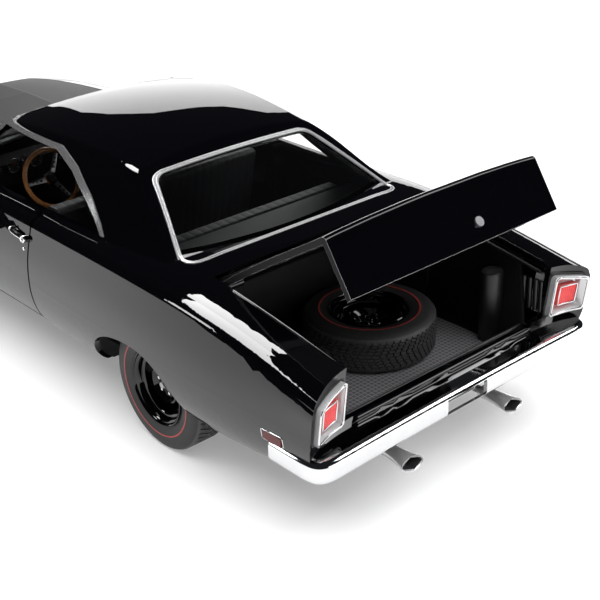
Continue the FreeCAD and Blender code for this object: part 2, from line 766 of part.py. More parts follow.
def rear_bumper():
    """The rear bumper, with the window of the number plate in its middle."""
    blade = bumper(-1, S.tail_x, S.rear_bumper_reach, S.bumper_top_z)
    middle = S.bumper_top_z - 0.5 * S.bumper_height
    window = box((-S.half_length - S.overrun, S.tail_x), (-S.plate_half, S.plate_half),
                 (middle - 0.5 * S.plate_height, middle + 0.5 * S.plate_height))
    return blade.cut(window)


def front_bumper():
    return bumper(1, S.nose_x, S.front_bumper_reach, S.grille_bottom_z - S.seat_gap)


LAMP_Z = 0.5 * (S.grille_bottom_z + S.grille_top_z)
LAMP_YS = (-S.headlamp_outer_y, -S.headlamp_inner_y, S.headlamp_inner_y, S.headlamp_outer_y)


def grille():
    """The recessed grille panel, slotted between the lamps and bored for them."""
    front = LOWER.cut(nose_cutter(0.5 * S.wall))
    panel = front.common(nose_cutter(0.5 * S.wall + S.wall)).common(grille_box(S.seat_gap))
    bars = 7
    pitch = (S.grille_top_z - S.grille_bottom_z) / (bars + 1)
    half = S.headlamp_inner_y - S.headlamp_radius - S.bezel_wall - S.wall
    for i in range(bars):
        z = S.grille_bottom_z + (i + 1) * pitch
        for y0, y1 in ((-half, -0.5 * S.wall), (0.5 * S.wall, half)):
            panel = panel.cut(box((S.nose_x - 3 * S.overrun, S.nose_x), (y0, y1), (z - 0.3 * pitch, z + 0.3 * pitch)))
    for y in LAMP_YS:
        panel = panel.cut(lamp_bore(y, S.headlamp_radius + S.bezel_wall + S.seat_gap))
    return panel


def lamp_bore(y, radius):
    return rod(radius, (S.nose_x - 3 * S.overrun, y, LAMP_Z), (S.nose_x, y, LAMP_Z))


def lamp_face_x(y):
    """How far forward the grille panel reaches beside one headlamp."""
    form = LOWER.cut(nose_cutter(0.5 * S.wall))
    ray = line((0, y, LAMP_Z), (S.nose_x + S.overrun, y, LAMP_Z))
    return form.common(ray).BoundBox.XMax


def headlamp_bezels():
    rings = []
    for y in LAMP_YS:
        x = lamp_face_x(y)
        outer = rod(S.headlamp_radius + S.bezel_wall, (x - 2 * S.wall, y, LAMP_Z), (x + 0.4 * S.wall, y, LAMP_Z))
        bore = rod(S.headlamp_radius, (x - 3 * S.wall, y, LAMP_Z), (x + S.wall, y, LAMP_Z))
        rings.append(outer.cut(bore))
    return Part.makeCompound(rings)


def headlamps():
    """Domed lamp glasses, seated in their bezels."""
    lamps = []
    radius = S.headlamp_radius - S.seat_gap
    for y in LAMP_YS:
        x = lamp_face_x(y)
        body = rod(radius, (x - 2 * S.wall, y, LAMP_Z), (x - 0.5 * S.wall, y, LAMP_Z))
        ball = Part.makeSphere(3 * radius, Vector(x - 0.5 * S.wall - 2.85 * radius, y, LAMP_Z))
        dome = ball.common(rod(radius, (x - S.wall, y, LAMP_Z), (x + S.wall, y, LAMP_Z)))
        lamps.append(body.fuse(dome).removeSplitter())
    return Part.makeCompound(lamps)


def tail_face_x(y, z):
    """How far back the tail's face is at a place across it and a height."""
    ray = line((S.tail_x - 2 * S.overrun, y, z), (0, y, z))
    return ray.cut(tail_cutter()).BoundBox.XMin


def lens_box(grow):
    """The block of the left tail lamp's lens, grown all round."""
    y = 0.5 * (S.lamp_inner_y + S.lamp_outer_y)
    z = 0.5 * (S.lamp_bottom_z + S.lamp_top_z - 0.5 * S.lamp_slope)
    half_y, half_z = 0.5 * S.lens_width + grow, 0.5 * S.lens_height + grow
    return box((S.tail_x - 2 * S.overrun, S.tail_x + S.overrun), (y - half_y, y + half_y), (z - half_z, z + half_z))


def lamp_field():
    """The recess of the left tail lamp, which narrows from the rim to the frame of the lens."""
    rim, frame = S.lamp_rim, lens_box(S.lamp_rim).BoundBox
    inner, outer, low, high = (S.lamp_inner_y + rim, S.lamp_outer_y - rim, S.lamp_bottom_z + rim, S.lamp_top_z - rim)
    mouth = [(inner, low), (outer, low), (outer, high - S.lamp_slope), (inner, high)]
    foot = [(frame.YMin, frame.ZMin), (frame.YMax, frame.ZMin), (frame.YMax, frame.ZMax), (frame.YMin, frame.ZMax)]
    proud, depth = S.lamp_proud + S.seat_gap, S.lamp_recess - S.lamp_proud
    wires = [polygon([(tail_face_x(y, z) - proud, y, z) for y, z in mouth]),
             polygon([(tail_face_x(y, z) + depth, y, z) for y, z in foot])]
    return ruled_loft(wires, True)


def tail_lamp_bezels():
    """Square bright housings with a rim and a recess that slopes to the frame of the lens."""
    body = lamp_block(0.0).cut(tail_cutter(-S.lamp_proud)).common(tail_cutter(S.lamp_depth))
    body = max(body.cut(lamp_field()).Solids, key=lambda solid: solid.Volume)
    return pair(body.cut(lens_box(0.0).common(tail_cutter(S.lamp_depth - S.wall))))


def tail_lamp_lenses():
    lens = lens_box(-S.seat_gap).common(tail_cutter(S.lamp_depth - S.wall - S.seat_gap))
    lens = lens.cut(tail_cutter(S.lamp_recess - S.lamp_proud - 0.5 * S.lamp_rim))
    return pair(max(lens.Solids, key=lambda solid: solid.Volume))


def side_markers():
    """Small side marker lamps, each in a pocket of its fender."""
    markers = marker_blocks(0.0)
    return Part.makeCompound(markers + [mirrored(marker) for marker in markers])


# Doors

def hinge_levels():
    return (S.waist_z - 0.5 * S.door_strap_pitch, S.waist_z + 0.5 * S.door_strap_pitch)


def door():
    """The left door, as thick as the gap between skin and cabin, with its two hinge pins in slots."""
    leaf = OUTER.common(door_region(0))
    leaf = max(leaf.Solids, key=lambda solid: solid.Volume)
    reach = S.strap_thick + S.panel_gap
    half = 0.5 * S.door_strap_height + 2 * S.seat_gap
    for z in hinge_levels():
        slot = box((DOOR_AXIS_X - reach, S.door_front_x + S.overrun),
                   (S.door_inner_y - S.overrun, DOOR_AXIS_Y + S.strap_thick), (z - half, z + half))
        leaf = leaf.cut(slot)
        pin = rod(S.door_pin_radius, (DOOR_AXIS_X, DOOR_AXIS_Y, z - half - S.wall),
                  (DOOR_AXIS_X, DOOR_AXIS_Y, z + half + S.wall))
        leaf = leaf.fuse(pin)
    return leaf


def door_hinges():
    """Angled straps from the door posts, with eyes around the doors' pins, and the posts that carry them."""
    half = 0.5 * S.door_strap_height
    post_x = S.door_front_x + S.panel_gap
    inner_y = S.door_inner_y + 0.8 * S.wall
    post = box((post_x, post_x + 2 * S.wall), (inner_y - 1.5 * S.wall, DOOR_AXIS_Y),
               (S.pan_top_z, S.shoulder_z - S.wall)).common(lower_form(S.wall, 0.0))
    piece = post
    arm = 0.8 * S.strap_thick
    for z in hinge_levels():
        eye = rod(S.door_pin_radius + 0.4 * S.strap_thick + S.running_gap, (DOOR_AXIS_X, DOOR_AXIS_Y, z - half),
                  (DOOR_AXIS_X, DOOR_AXIS_Y, z + half))
        inward = box((DOOR_AXIS_X - 0.5 * arm, DOOR_AXIS_X + 0.5 * arm), (inner_y, DOOR_AXIS_Y), (z - half, z + half))
        forward = box((DOOR_AXIS_X - 0.5 * arm, post_x + S.wall), (inner_y, inner_y + arm), (z - half, z + half))
        bore = rod(S.door_pin_radius + S.running_gap, (DOOR_AXIS_X, DOOR_AXIS_Y, z - 2 * half),
                   (DOOR_AXIS_X, DOOR_AXIS_Y, z + 2 * half))
        piece = piece.fuse([eye, inward, forward]).cut(bore)
    return pair(piece.removeSplitter())


def door_handle():
    """A pull handle standing off the door on two feet."""
    x, z = S.handle_x, S.handle_z
    half = 0.5 * S.handle_length
    y = max(skin_y(x - half, z), skin_y(x + half, z))
    grip = box((x - half, x + half), (y + 0.4 * S.handle_proud, y + S.handle_proud),
               (z - 0.5 * S.handle_height, z + 0.5 * S.handle_height))
    feet = [box((x + side * half - 0.12 * S.handle_length, x + side * half + 0.12 * S.handle_length),
                (y - S.wall, y + 0.5 * S.handle_proud), (z - 0.5 * S.handle_height, z + 0.5 * S.handle_height))
            for side in (-0.84, 0.84)]
    handle = grip.fuse(feet).cut(OUTER)
    return handle.removeSplitter()


def side_mirror():
    """A round-backed mirror on a short stalk at the front of the left door."""
    x, y = S.mirror_x, S.mirror_y - S.mirror_radius
    top = skin_z(x, y)
    z = top + 1.5 * S.mirror_radius
    stalk = rod(0.3 * S.mirror_radius, (x, y, top - S.wall), (x, S.mirror_y, z))
    head = Part.makeCone(S.mirror_radius, 0.5 * S.mirror_radius, S.mirror_length,
                         Vector(x - 0.4 * S.mirror_length, S.mirror_y, z), Vector(1, 0, 0))
    mirror = stalk.fuse(head).cut(OUTER)
    return max(mirror.Solids, key=lambda solid: solid.Volume)


# Hood and trunk lid

def hood():
    """The lift-up hood with its wide scoop, rolled at the rear edge round its hinge pins."""
    slab, roll = hood_region(0.0)
    panel = OUTER.cut(INNER).common(slab)
    x0, x1, half = S.scoop_rear_x, S.scoop_front_x, S.scoop_half
    z1 = skin_z(x1, 0) + S.scoop_rise
    z0 = skin_z(x0, 0)
    low = S.shoulder_z - S.wall
    side = polygon([(x0, -half, low), (x1, -half, low), (x1, -half, z1),
                    (x0 + 0.55 * (x1 - x0), -half, z1 + 0.25 * S.scoop_rise), (x0, -half, z0)])
    scoop = prism(side, (0, 2 * half, 0))
    crest = [edge for edge in scoop.Edges if edge.BoundBox.ZMin > z0 - S.wall and edge.BoundBox.YLength < S.wall]
    scoop = scoop.makeFillet(0.9 * S.scoop_rise, crest).cut(LOWER)
    mouth = box((x1 - 0.3 * (x1 - x0), x1 + S.overrun), (-half + S.wall, -S.wall), (low, z1 - 0.5 * S.wall))
    scoop = scoop.cut(mouth).cut(mirrored(mouth))
    for piece in [scoop] + rolled_edge(roll, S.hood_rear_half, S.hood_hinge_x, HOOD_AXIS_Z):
        panel = panel.fuse(piece)
    return panel.removeSplitter()


def trunk_lid_closed():
    slab, roll = lid_region(0.0)
    panel = OUTER.cut(INNER).common(slab)
    panel = max(panel.Solids, key=lambda solid: solid.Volume)
    for piece in rolled_edge(roll, S.lid_half, S.lid_hinge_x, LID_AXIS_Z):
        panel = panel.fuse(piece)
    return panel.removeSplitter()


LOCK_Y_SHARE = -0.17
LOCK_Z_SHARE = 0.33


def trunk_lock_closed():
    z = S.lid_bottom_z + LOCK_Z_SHARE * (S.tail_crease_z - S.lid_bottom_z)
    y = LOCK_Y_SHARE * S.half_width
    x = S.tail_x + TAIL_TILT * (z - S.tail_crease_z)
    return rod(S.lock_radius, (x - 0.4 * S.wall, y, z), (x + S.wall, y, z)).cut(lower_form())


def opened(shape):
    """Turns a piece of the lid from its closed place to the open one, in which the model stands."""
    turned = shape.copy()
    turned.rotate(Vector(S.lid_hinge_x, 0, LID_AXIS_Z), Vector(0, 1, 0), S.lid_open_angle)
    return turned


# Wheels

TYRE_PROFILE = [
    ("Sizes.rim_radius", "-0.42 * Sizes.tyre_width"),
    ("Sizes.rim_radius + 0.55 * (Sizes.tyre_radius - Sizes.rim_radius)", "-0.50 * Sizes.tyre_width"),
    ("Sizes.tyre_radius", "-0.36 * Sizes.tyre_width"),
]
TYRE_OUTLINE = TYRE_PROFILE + [(across, along[1:]) for across, along in reversed(TYRE_PROFILE)]
# The rim's barrel, dish and hub, from the inner lip round to the outer lip and back along the inside
RIM_OUTLINE = [
    ("Sizes.stub_radius + Sizes.running_gap", "-0.30 * Sizes.rim_width"),
    ("Sizes.hub_radius", "-0.30 * Sizes.rim_width"),
    ("Sizes.hub_radius", "0.16 * Sizes.rim_width"),
    ("0.60 * Sizes.rim_radius", "0.22 * Sizes.rim_width"),
    ("Sizes.rim_radius - 2.6 * Sizes.rim_wall", "0.02 * Sizes.rim_width"),
    ("Sizes.rim_radius - 2.6 * Sizes.rim_wall", "-0.40 * Sizes.rim_width"),
    ("Sizes.rim_radius - 1.2 * Sizes.rim_wall", "-0.50 * Sizes.rim_width"),
    ("Sizes.rim_radius - Sizes.seat_gap", "-0.50 * Sizes.rim_width"),
    ("Sizes.rim_radius - Sizes.seat_gap", "0.50 * Sizes.rim_width"),
    ("Sizes.rim_radius + 0.6 * Sizes.rim_wall", "0.535 * Sizes.rim_width"),
    ("Sizes.rim_radius + 0.6 * Sizes.rim_wall", "0.61 * Sizes.rim_width"),
    ("Sizes.rim_radius - 0.6 * Sizes.rim_wall", "0.61 * Sizes.rim_width"),
    ("Sizes.rim_radius - 1.4 * Sizes.rim_wall", "0.46 * Sizes.rim_width"),
    ("Sizes.rim_radius - 1.6 * Sizes.rim_wall", "0.14 * Sizes.rim_width"),
    ("0.62 * Sizes.rim_radius", "0.32 * Sizes.rim_width"),
    ("Sizes.hub_radius", "0.26 * Sizes.rim_width"),
    ("Sizes.hub_radius", "0.36 * Sizes.rim_width"),
    ("Sizes.stub_radius + Sizes.running_gap", "0.36 * Sizes.rim_width"),
]


def wheel(corner, axle_x, track, side):
    turn = 0.0 if side > 0 else 180.0
    place = ("Sizes." + axle_x, ("" if side > 0 else "-") + "Sizes." + track, "Sizes.tyre_radius")
    return [turned_body("tyre_" + corner, TYRE_OUTLINE, place, turn),
            turned_body("rim_" + corner, RIM_OUTLINE, place, turn)]


# Underbody

def well(axle_x, inner_y):
    """The room a wheel needs beside the pan."""
    return box((axle_x - S.well_radius, axle_x + S.well_radius), (inner_y, S.half_width), (0, S.housing_top_z))


@lru_cache(maxsize=None)
def chassis_pan():
    """The floor pan with its kick-up over the axle and the display screw bosses."""
    inside = lower_form(S.wall + S.seat_gap, S.overrun)
    floor = inside.common(box((-S.pan_half_length, S.pan_half_length), (-S.half_width, S.half_width),
                              (S.pan_top_z - S.pan_thick, S.pan_top_z)))
    for axle_x, inner_y in ((S.front_axle_x, S.apron_y), (S.rear_axle_x, S.housing_y)):
        room = well(axle_x, inner_y)
        floor = floor.cut(room).cut(mirrored(room))
    kick_top = S.tyre_radius + S.differential_radius + 0.5 * S.wall
    half = S.housing_y
    x0, x1 = S.rear_axle_x - S.kick_half, S.rear_axle_x + S.kick_half
    hump = box((x0, x1), (-half, half), (S.pan_top_z - S.pan_thick, kick_top + S.liner))
    hollow = box((x0 + S.liner, x1 - S.liner), (-half, half), (0, kick_top))
    floor = floor.cut(box((x0 + S.liner, x1 - S.liner), (-half, half), (0, kick_top))).fuse(hump.cut(hollow))
    for cut in axle_cuts():
        floor = floor.cut(cut)
    for x in (S.screw_front_x, S.screw_rear_x):
        low = S.pan_top_z - S.screw_boss_height
        floor = floor.fuse(rod(S.screw_boss_radius, (x, 0, low), (x, 0, S.pan_top_z - 0.5 * S.pan_thick)))
        floor = floor.cut(rod(S.screw_radius, (x, 0, low - S.wall), (x, 0, S.pan_top_z + S.wall)))
    return floor.removeSplitter()


def axle_cuts():
    """What the wheel housings and the pan leave free: the front arms' notches and the rear axle's bore."""
    half = 0.5 * S.arm_width + 2 * S.seat_gap
    notch = box((S.front_axle_x - half, S.front_axle_x + half), (S.crossmember_half - S.arm_thick - S.seat_gap,
                                                                 S.housing_y), (0, S.tyre_radius + S.overrun))
    axle = (S.rear_axle_x, S.half_width, S.tyre_radius)
    return [notch, mirrored(notch), rod(S.axle_radius + S.panel_gap, (axle[0], -axle[1], axle[2]), axle)]


def wheel_housings():
    """The four wheel housings: an upright wall inside each tyre, and a roof over it."""
    inside = lower_form(S.wall + S.seat_gap, S.overrun)
    pan = chassis_pan()
    housings = []
    for axle_x, y, top in ((S.front_axle_x, S.apron_y, S.apron_top_z), (S.rear_axle_x, S.housing_y, S.housing_top_z)):
        along = (axle_x - S.well_radius - S.liner, axle_x + S.well_radius + S.liner)
        wall = box(along, (y - S.liner, y), (S.pan_top_z - S.pan_thick, top))
        roof = box(along, (y - S.liner, S.half_width), (S.housing_top_z - S.liner, S.housing_top_z))
        housing = wall.fuse(roof.common(inside)).cut(pan)
        for cut in axle_cuts():
            housing = housing.cut(cut)
        housings.append(max(housing.Solids, key=lambda solid: solid.Volume))
    return Part.makeCompound(housings + [mirrored(housing) for housing in housings])


def rear_axle_housing():
    """The axle tube with its differential, on two leaf springs that hang under the pan."""
    x, z = S.rear_axle_x, S.tyre_radius
    end = S.housing_y - S.liner - S.panel_gap
    tube = rod(S.axle_tube_radius, (x, -end, z), (x, end, z))
    case = Part.makeSphere(S.differential_radius, Vector(x, 0, z))
    body = tube.fuse(case)
    pan = S.pan_top_z - S.pan_thick
    low = z - S.axle_tube_radius
    for side in (-1, 1):
        y = side * S.spring_y - 0.5 * S.spring_width
        half = S.spring_half_length
        top = [(x - half, y, pan), (x, y, 2 * low - pan - 0.2 * S.spring_thick), (x + half, y, pan)]
        under = [(px, py, pz - S.spring_thick) for px, py, pz in reversed(top)]
        wire = Part.Wire([bezier(*top), line(top[-1], under[0]), bezier(*under), line(under[-1], top[0])])
        body = body.fuse(prism(wire, (0, S.spring_width, 0)))
        seat = box((x - S.spring_width, x + S.spring_width), (y, y + S.spring_width), (low - S.spring_thick, z))
        body = body.fuse(seat)
    body = body.cut(rod(S.axle_radius + S.running_gap, (x, -S.half_width, z), (x, S.half_width, z)))
    return body


def rear_axle_shaft():
    x, z = S.rear_axle_x, S.tyre_radius
    end = S.rear_track_half + 0.36 * S.rim_width
    return rod(S.axle_radius, (x, -end, z), (x, end, z))


def front_suspension():
    """The crossmember with upper and lower arms, whose eyes carry the kingpins."""
    x, z = S.front_axle_x, S.tyre_radius
    pan = S.pan_top_z - S.pan_thick
    beam = box((x - S.arm_width, x + S.arm_width), (-S.crossmember_half, S.crossmember_half),
               (z - S.kingpin_half, pan))
    arms = []
    for low in (z - S.kingpin_half, z + S.kingpin_half - S.arm_thick):
        root = S.crossmember_half - S.arm_thick
        arm = box((x - 0.5 * S.arm_width, x + 0.5 * S.arm_width), (root, S.kingpin_y), (low, low + S.arm_thick))
        eye = rod(0.5 * S.arm_width, (x, S.kingpin_y, low), (x, S.kingpin_y, low + S.arm_thick))
        bore = rod(S.kingpin_radius + S.running_gap, (x, S.kingpin_y, low - S.wall),
                   (x, S.kingpin_y, low + S.arm_thick + S.wall))
        arms.append(arm.fuse(eye).cut(bore))
    upright = box((x - 0.5 * S.arm_width, x + 0.5 * S.arm_width),
                  (S.crossmember_half - S.arm_thick, S.crossmember_half), (z - S.kingpin_half, z + S.kingpin_half))
    arms.append(upright)
    return beam.fuse(arms + [mirrored(arm) for arm in arms]).removeSplitter()


def knuckle():
    """The left knuckle: kingpin, block between the arms, and stub axle."""
    x, z = S.front_axle_x, S.tyre_radius
    block_half = S.kingpin_half - S.arm_thick - S.seat_gap
    pin = rod(S.kingpin_radius, (x, S.kingpin_y, z - S.kingpin_half), (x, S.kingpin_y, z + S.kingpin_half))
    block = rod(2 * S.kingpin_radius, (x, S.kingpin_y, z - block_half), (x, S.kingpin_y, z + block_half))
    stub = rod(S.stub_radius, (x, S.kingpin_y, z), (x, S.front_track_half + 0.34 * S.rim_width, z))
    collar = rod(1.8 * S.stub_radius, (x, S.kingpin_y, z),
                 (x, S.front_track_half - 0.30 * S.rim_width - S.seat_gap, z))
    return pin.fuse([block, stub, collar]).removeSplitter()


def exhaust_pipes():
    """Two pipes with mufflers, close under the pan from the engine to the tips."""
    low = S.pan_top_z - S.pan_thick
    x0 = S.rear_axle_x + S.spring_half_length
    start = (S.tip_end_x + S.tip_length, S.pipe_y, S.pipe_z)
    run = rod(S.pipe_radius, start, (x0, S.pipe_y, S.pipe_z))
    muffler = box((x0, x0 + S.muffler_length), (S.pipe_y - 0.5 * S.muffler_width, S.pipe_y + 0.5 * S.muffler_width),
                  (low - S.seat_gap - S.muffler_height, low - S.seat_gap))
    long_edges = [edge for edge in muffler.Edges if edge.BoundBox.XLength > 0.5 * S.muffler_length]
    muffler = muffler.makeFillet(0.45 * S.muffler_height, long_edges)
    front = rod(S.pipe_radius, (x0 + S.muffler_length, S.pipe_y, low - S.seat_gap - 0.5 * S.muffler_height),
                (S.front_axle_x - 2 * S.arm_width - S.overrun, S.pipe_y - S.muffler_width,
                 low - S.seat_gap - S.pipe_radius))
    return pair(run.fuse([muffler, front]).removeSplitter())


def tip_flare(shrink, x_start):
    """The tip's round start, flared to a flat oval at its end."""
    stations = ((0.0, S.pipe_radius + S.tip_wall, S.pipe_radius + S.tip_wall), (0.45, *TIP_MIDDLE), (1.0, *TIP_END))
    wires = []
    for along, wide, tall in stations:
        x = x_start + along * (S.tip_end_x - x_start)
        oval = Part.Ellipse(Vector(x, S.pipe_y, S.pipe_z), wide - shrink, tall - shrink)
        oval.Axis = Vector(1, 0, 0)
        oval.XAxis = Vector(0, 1, 0)
        wires.append(Part.Wire([oval.toShape()]))
    return ruled_loft(wires)


TIP_END = (S.tip_half_width, S.tip_half_height)
TIP_MIDDLE = (0.62 * S.tip_half_width, 0.78 * S.tip_half_height)


def exhaust_tips():
    """Bright tips, flared to flat ovals, cut on a slant and open behind."""
    start = S.tip_end_x + S.tip_length
    tip = tip_flare(0.0, start)
    bore = tip_flare(S.tip_wall, start).common(box((S.tip_end_x, start - 0.3 * S.tip_length),
                                                   (0, S.half_width), (0, S.pan_top_z)))
    x, y, high, low = S.tip_end_x, S.pipe_y - S.overrun, S.pipe_z + S.overrun, S.pipe_z - S.overrun
    lean = 2 * S.overrun * SLANT_SHARE
    slant = polygon([(x - lean, y, low), (x - lean, y, high), (x + lean, y, high), (x, y, low)])
    return pair(tip.cut(bore).cut(prism(slant, (0, 2 * S.overrun, 0))))


SLANT_SHARE = 0.45


def engine_block():
    x = S.front_axle_x - 0.3 * S.engine_length
    half = 0.5 * S.engine_width
    low = S.pan_top_z + S.seat_gap
    return box((x - 0.5 * S.engine_length, x + 0.5 * S.engine_length), (-half, half), (low, low + S.engine_height))


# Trunk

def trunk_section(x, inset):
    """A section of the trunk's tub: level floor, sides that slope out to the gutter of the lid's opening."""
    low, high = TRUNK_HALF - inset, S.lid_half + S.panel_gap + S.wall - inset
    z0 = S.trunk_floor_z - S.liner + inset
    return polygon([(x, -low, z0), (x, low, z0), (x, high, S.trunk_wall_top_z), (x, high, S.roof_z),
                    (x, -high, S.roof_z), (x, -high, S.trunk_wall_top_z)])


def trunk_liner():
    """The trunk's floor, front wall and side walls, up to the skin beside the lid."""
    t = S.liner
    rear, front = S.trunk_rear_x - t, S.trunk_front_x
    tub = prism(trunk_section(rear, 0.0), (front - rear, 0, 0))
    room = prism(trunk_section(rear + t, t), (front - rear - 2 * t, 0, 0))
    tub = tub.cut(room).common(lower_form(S.wall + S.seat_gap, 0))
    half = S.housing_y - S.liner - S.seat_gap
    well_front = box((S.rear_axle_x - S.well_radius - S.liner - S.seat_gap, front + S.overrun), (half, S.half_width),
                     (0, S.housing_top_z + S.seat_gap))
    above = box((S.lid_hinge_x - S.overrun, front + S.overrun), (-S.half_width, S.half_width),
                (S.trunk_wall_top_z - S.seat_gap, S.roof_z))
    behind = box((rear - S.overrun, rear + t), (-S.half_width, S.half_width),
                 (S.sill_ledge_z - S.wall - S.seat_gap, S.roof_z))
    for cut in (well_front, mirrored(well_front), above, behind):
        tub = tub.cut(cut)
    return max(tub.Solids, key=lambda solid: solid.Volume)


def spare(profile, name):
    """A spare tyre or rim lying flat on the trunk floor, its dish upwards."""
    body = turned_body(name, profile, ("Sizes.spare_x", "Sizes.spare_y", SPARE_Z))
    body.Placement = Placement(body.Placement.Base, Rotation(Vector(1, 0, 0), 90))
    return body


SPARE_Z = "Sizes.trunk_floor_z + Sizes.seat_gap + 0.5 * Sizes.tyre_width"


# Interior

def cabin_floor():
    """Floor, tunnel, firewall, rear wall and the shelf under the rear window."""
    t = S.liner
    x0, x1 = S.trunk_front_x + S.seat_gap, S.firewall_x
    low = S.pan_top_z + S.seat_gap
    rear_low = S.tyre_radius + S.differential_radius + 0.5 * S.wall + S.liner + S.seat_gap
    kick = S.rear_axle_x + S.kick_half + S.seat_gap
    floor = box((kick, x1), (-S.floor_half, S.floor_half), (low, S.floor_z))
    riser = box((kick, kick + t), (-S.housing_y + 2 * t, S.housing_y - 2 * t), (low, rear_low + t))
    over = box((x0, kick + t), (-S.housing_y + 2 * t, S.housing_y - 2 * t), (rear_low, rear_low + t))
    wall = box((x0, x0 + t), (-S.housing_y + 2 * t, S.housing_y - 2 * t), (rear_low, S.shelf_z))
    shelf = box((x0 - S.overrun, S.rear_seat_x - S.rear_seat_depth - S.seat_back_thick),
                (-S.housing_y, S.housing_y), (S.shelf_z - t, S.shelf_z))
    firewall = box((x1 - t, x1), (-S.floor_half, S.floor_half), (low, S.dash_top_z))
    tunnel = box((kick, x1), (-S.tunnel_half, S.tunnel_half), (S.floor_z, S.floor_z + S.tunnel_height))
    ridge = [edge for edge in tunnel.Edges
             if edge.BoundBox.XLength > S.firewall_x and edge.BoundBox.ZMin > S.floor_z + S.seat_gap]
    tunnel = tunnel.makeFillet(0.6 * S.tunnel_half, ridge)
    shape = floor.fuse([riser, over, wall, shelf, firewall, tunnel]).common(lower_form(S.wall + S.seat_gap, 0))
    room = box((S.rear_axle_x - S.well_radius - 2 * t, S.rear_axle_x + S.well_radius + 2 * t),
               (S.housing_y - S.liner - S.seat_gap, S.half_width), (0, S.housing_top_z + S.seat_gap))
    shape = shape.cut(room).cut(mirrored(room))
    return max(shape.Solids, key=lambda solid: solid.Volume)


def bench(front_x, depth, half, base_z):
    """A bench: cushion and leaning back, with soft edges."""
    back_x = front_x - depth
    cushion = box((back_x, front_x), (-half, half), (base_z, S.cushion_z))
    lean, thick = S.seat_back_lean, S.seat_back_thick
    side = polygon([(back_x + thick, -half, S.cushion_z - thick), (back_x + thick - lean, -half, S.seat_back_z),
                    (back_x - lean, -half, S.seat_back_z), (back_x, -half, S.cushion_z - thick)])
    back = prism(side, (0, 2 * half, 0))
    seat = cushion.fuse(back).removeSplitter()
    edges = [edge for edge in seat.Edges
             if edge.BoundBox.YLength > half and edge.BoundBox.ZMin > S.cushion_z - S.wall]
    return seat.makeFillet(0.25 * thick, edges)


def front_seat():
    seat = bench(S.front_seat_x, S.front_seat_depth, S.front_seat_half, S.floor_z + S.seat_gap)
    tunnel = box((-S.half_length, S.half_length), (-S.tunnel_half - S.seat_gap, S.tunnel_half + S.seat_gap),
                 (0, S.floor_z + S.tunnel_height + S.seat_gap))
    return seat.cut(tunnel)


def rear_seat():
    high = S.tyre_radius + S.differential_radius + 0.5 * S.wall + 2 * S.liner + 2 * S.seat_gap
    seat = bench(S.rear_seat_x, S.rear_seat_depth, S.rear_seat_half, high)
    tunnel = box((-S.half_length, S.half_length), (-S.tunnel_half - S.seat_gap, S.tunnel_half + S.seat_gap),
                 (0, S.floor_z + S.tunnel_height + S.seat_gap))
    return seat.cut(tunnel)


def dashboard():
    """The dash panel across the cabin, with an instrument hood over the steering column."""
    x0, x1, z0, z1 = S.dash_x, S.firewall_x - S.liner - S.seat_gap, S.dash_bottom_z, S.dash_top_z
    side = polygon([(x0 + 0.3 * (x1 - x0), -S.floor_half, z0), (x1, -S.floor_half, z0), (x1, -S.floor_half, z1),
                    (x0 + 0.1 * (x1 - x0), -S.floor_half, z1), (x0, -S.floor_half, z0 + 0.72 * (z1 - z0))])
    panel = prism(side, (0, 2 * S.floor_half, 0)).common(INNER)
    panel = panel.cut(rod(S.column_radius + S.seat_gap, column_point(-S.overrun), column_point(8 * S.overrun)))
    return max(panel.Solids, key=lambda solid: solid.Volume)


def column_point(distance):
    """A point on the steering axis, forward and down from the wheel."""
    rake = math.radians(S.wheel_rake)
    return (S.wheel_x + distance * math.cos(rake), S.wheel_y, S.wheel_z - distance * math.sin(rake))


def steering_column():
    """The column tube from behind the wheel to the firewall, bored for the shaft."""
    start = 1.6 * S.wheel_hub_radius
    length = (S.firewall_x - S.liner - S.wheel_x) / math.cos(math.radians(S.wheel_rake)) - S.seat_gap
    tube = rod(S.column_radius, column_point(start), column_point(length + S.overrun))
    tube = tube.cut(rod(S.shaft_radius + S.running_gap, column_point(0), column_point(start + 2 * S.overrun)))
    ahead = box((S.firewall_x - S.liner - S.seat_gap, S.half_length), (-S.half_width, S.half_width), (0, S.roof_z))
    return tube.cut(ahead)


def steering_wheel():
    """A three-spoke wheel on its shaft."""
    flat = Part.makeTorus(S.wheel_rim_radius, S.wheel_grip_radius)
    hub = Part.makeCylinder(S.wheel_hub_radius, 1.4 * S.wheel_hub_radius, Vector(0, 0, -1.4 * S.wheel_hub_radius))
    shaft = Part.makeCylinder(S.shaft_radius, 1.6 * S.wheel_hub_radius + S.overrun,
                              Vector(0, 0, -1.6 * S.wheel_hub_radius - S.overrun))
    spokes = []
    for angle in (90, 210, 330):
        spoke = Part.makeBox(S.wheel_rim_radius, 1.6 * S.wheel_grip_radius, 0.7 * S.wheel_grip_radius,
                             Vector(0, -0.8 * S.wheel_grip_radius, -0.7 * S.wheel_grip_radius))
        spoke.rotate(Vector(0, 0, 0), Vector(0, 0, 1), angle)
        spokes.append(spoke)
    whole = flat.fuse([hub, shaft] + spokes)
    whole.rotate(Vector(0, 0, 0), Vector(0, 1, 0), S.wheel_rake - 90)
    whole.translate(Vector(*column_point(0)))
    return whole


# All sub-parts

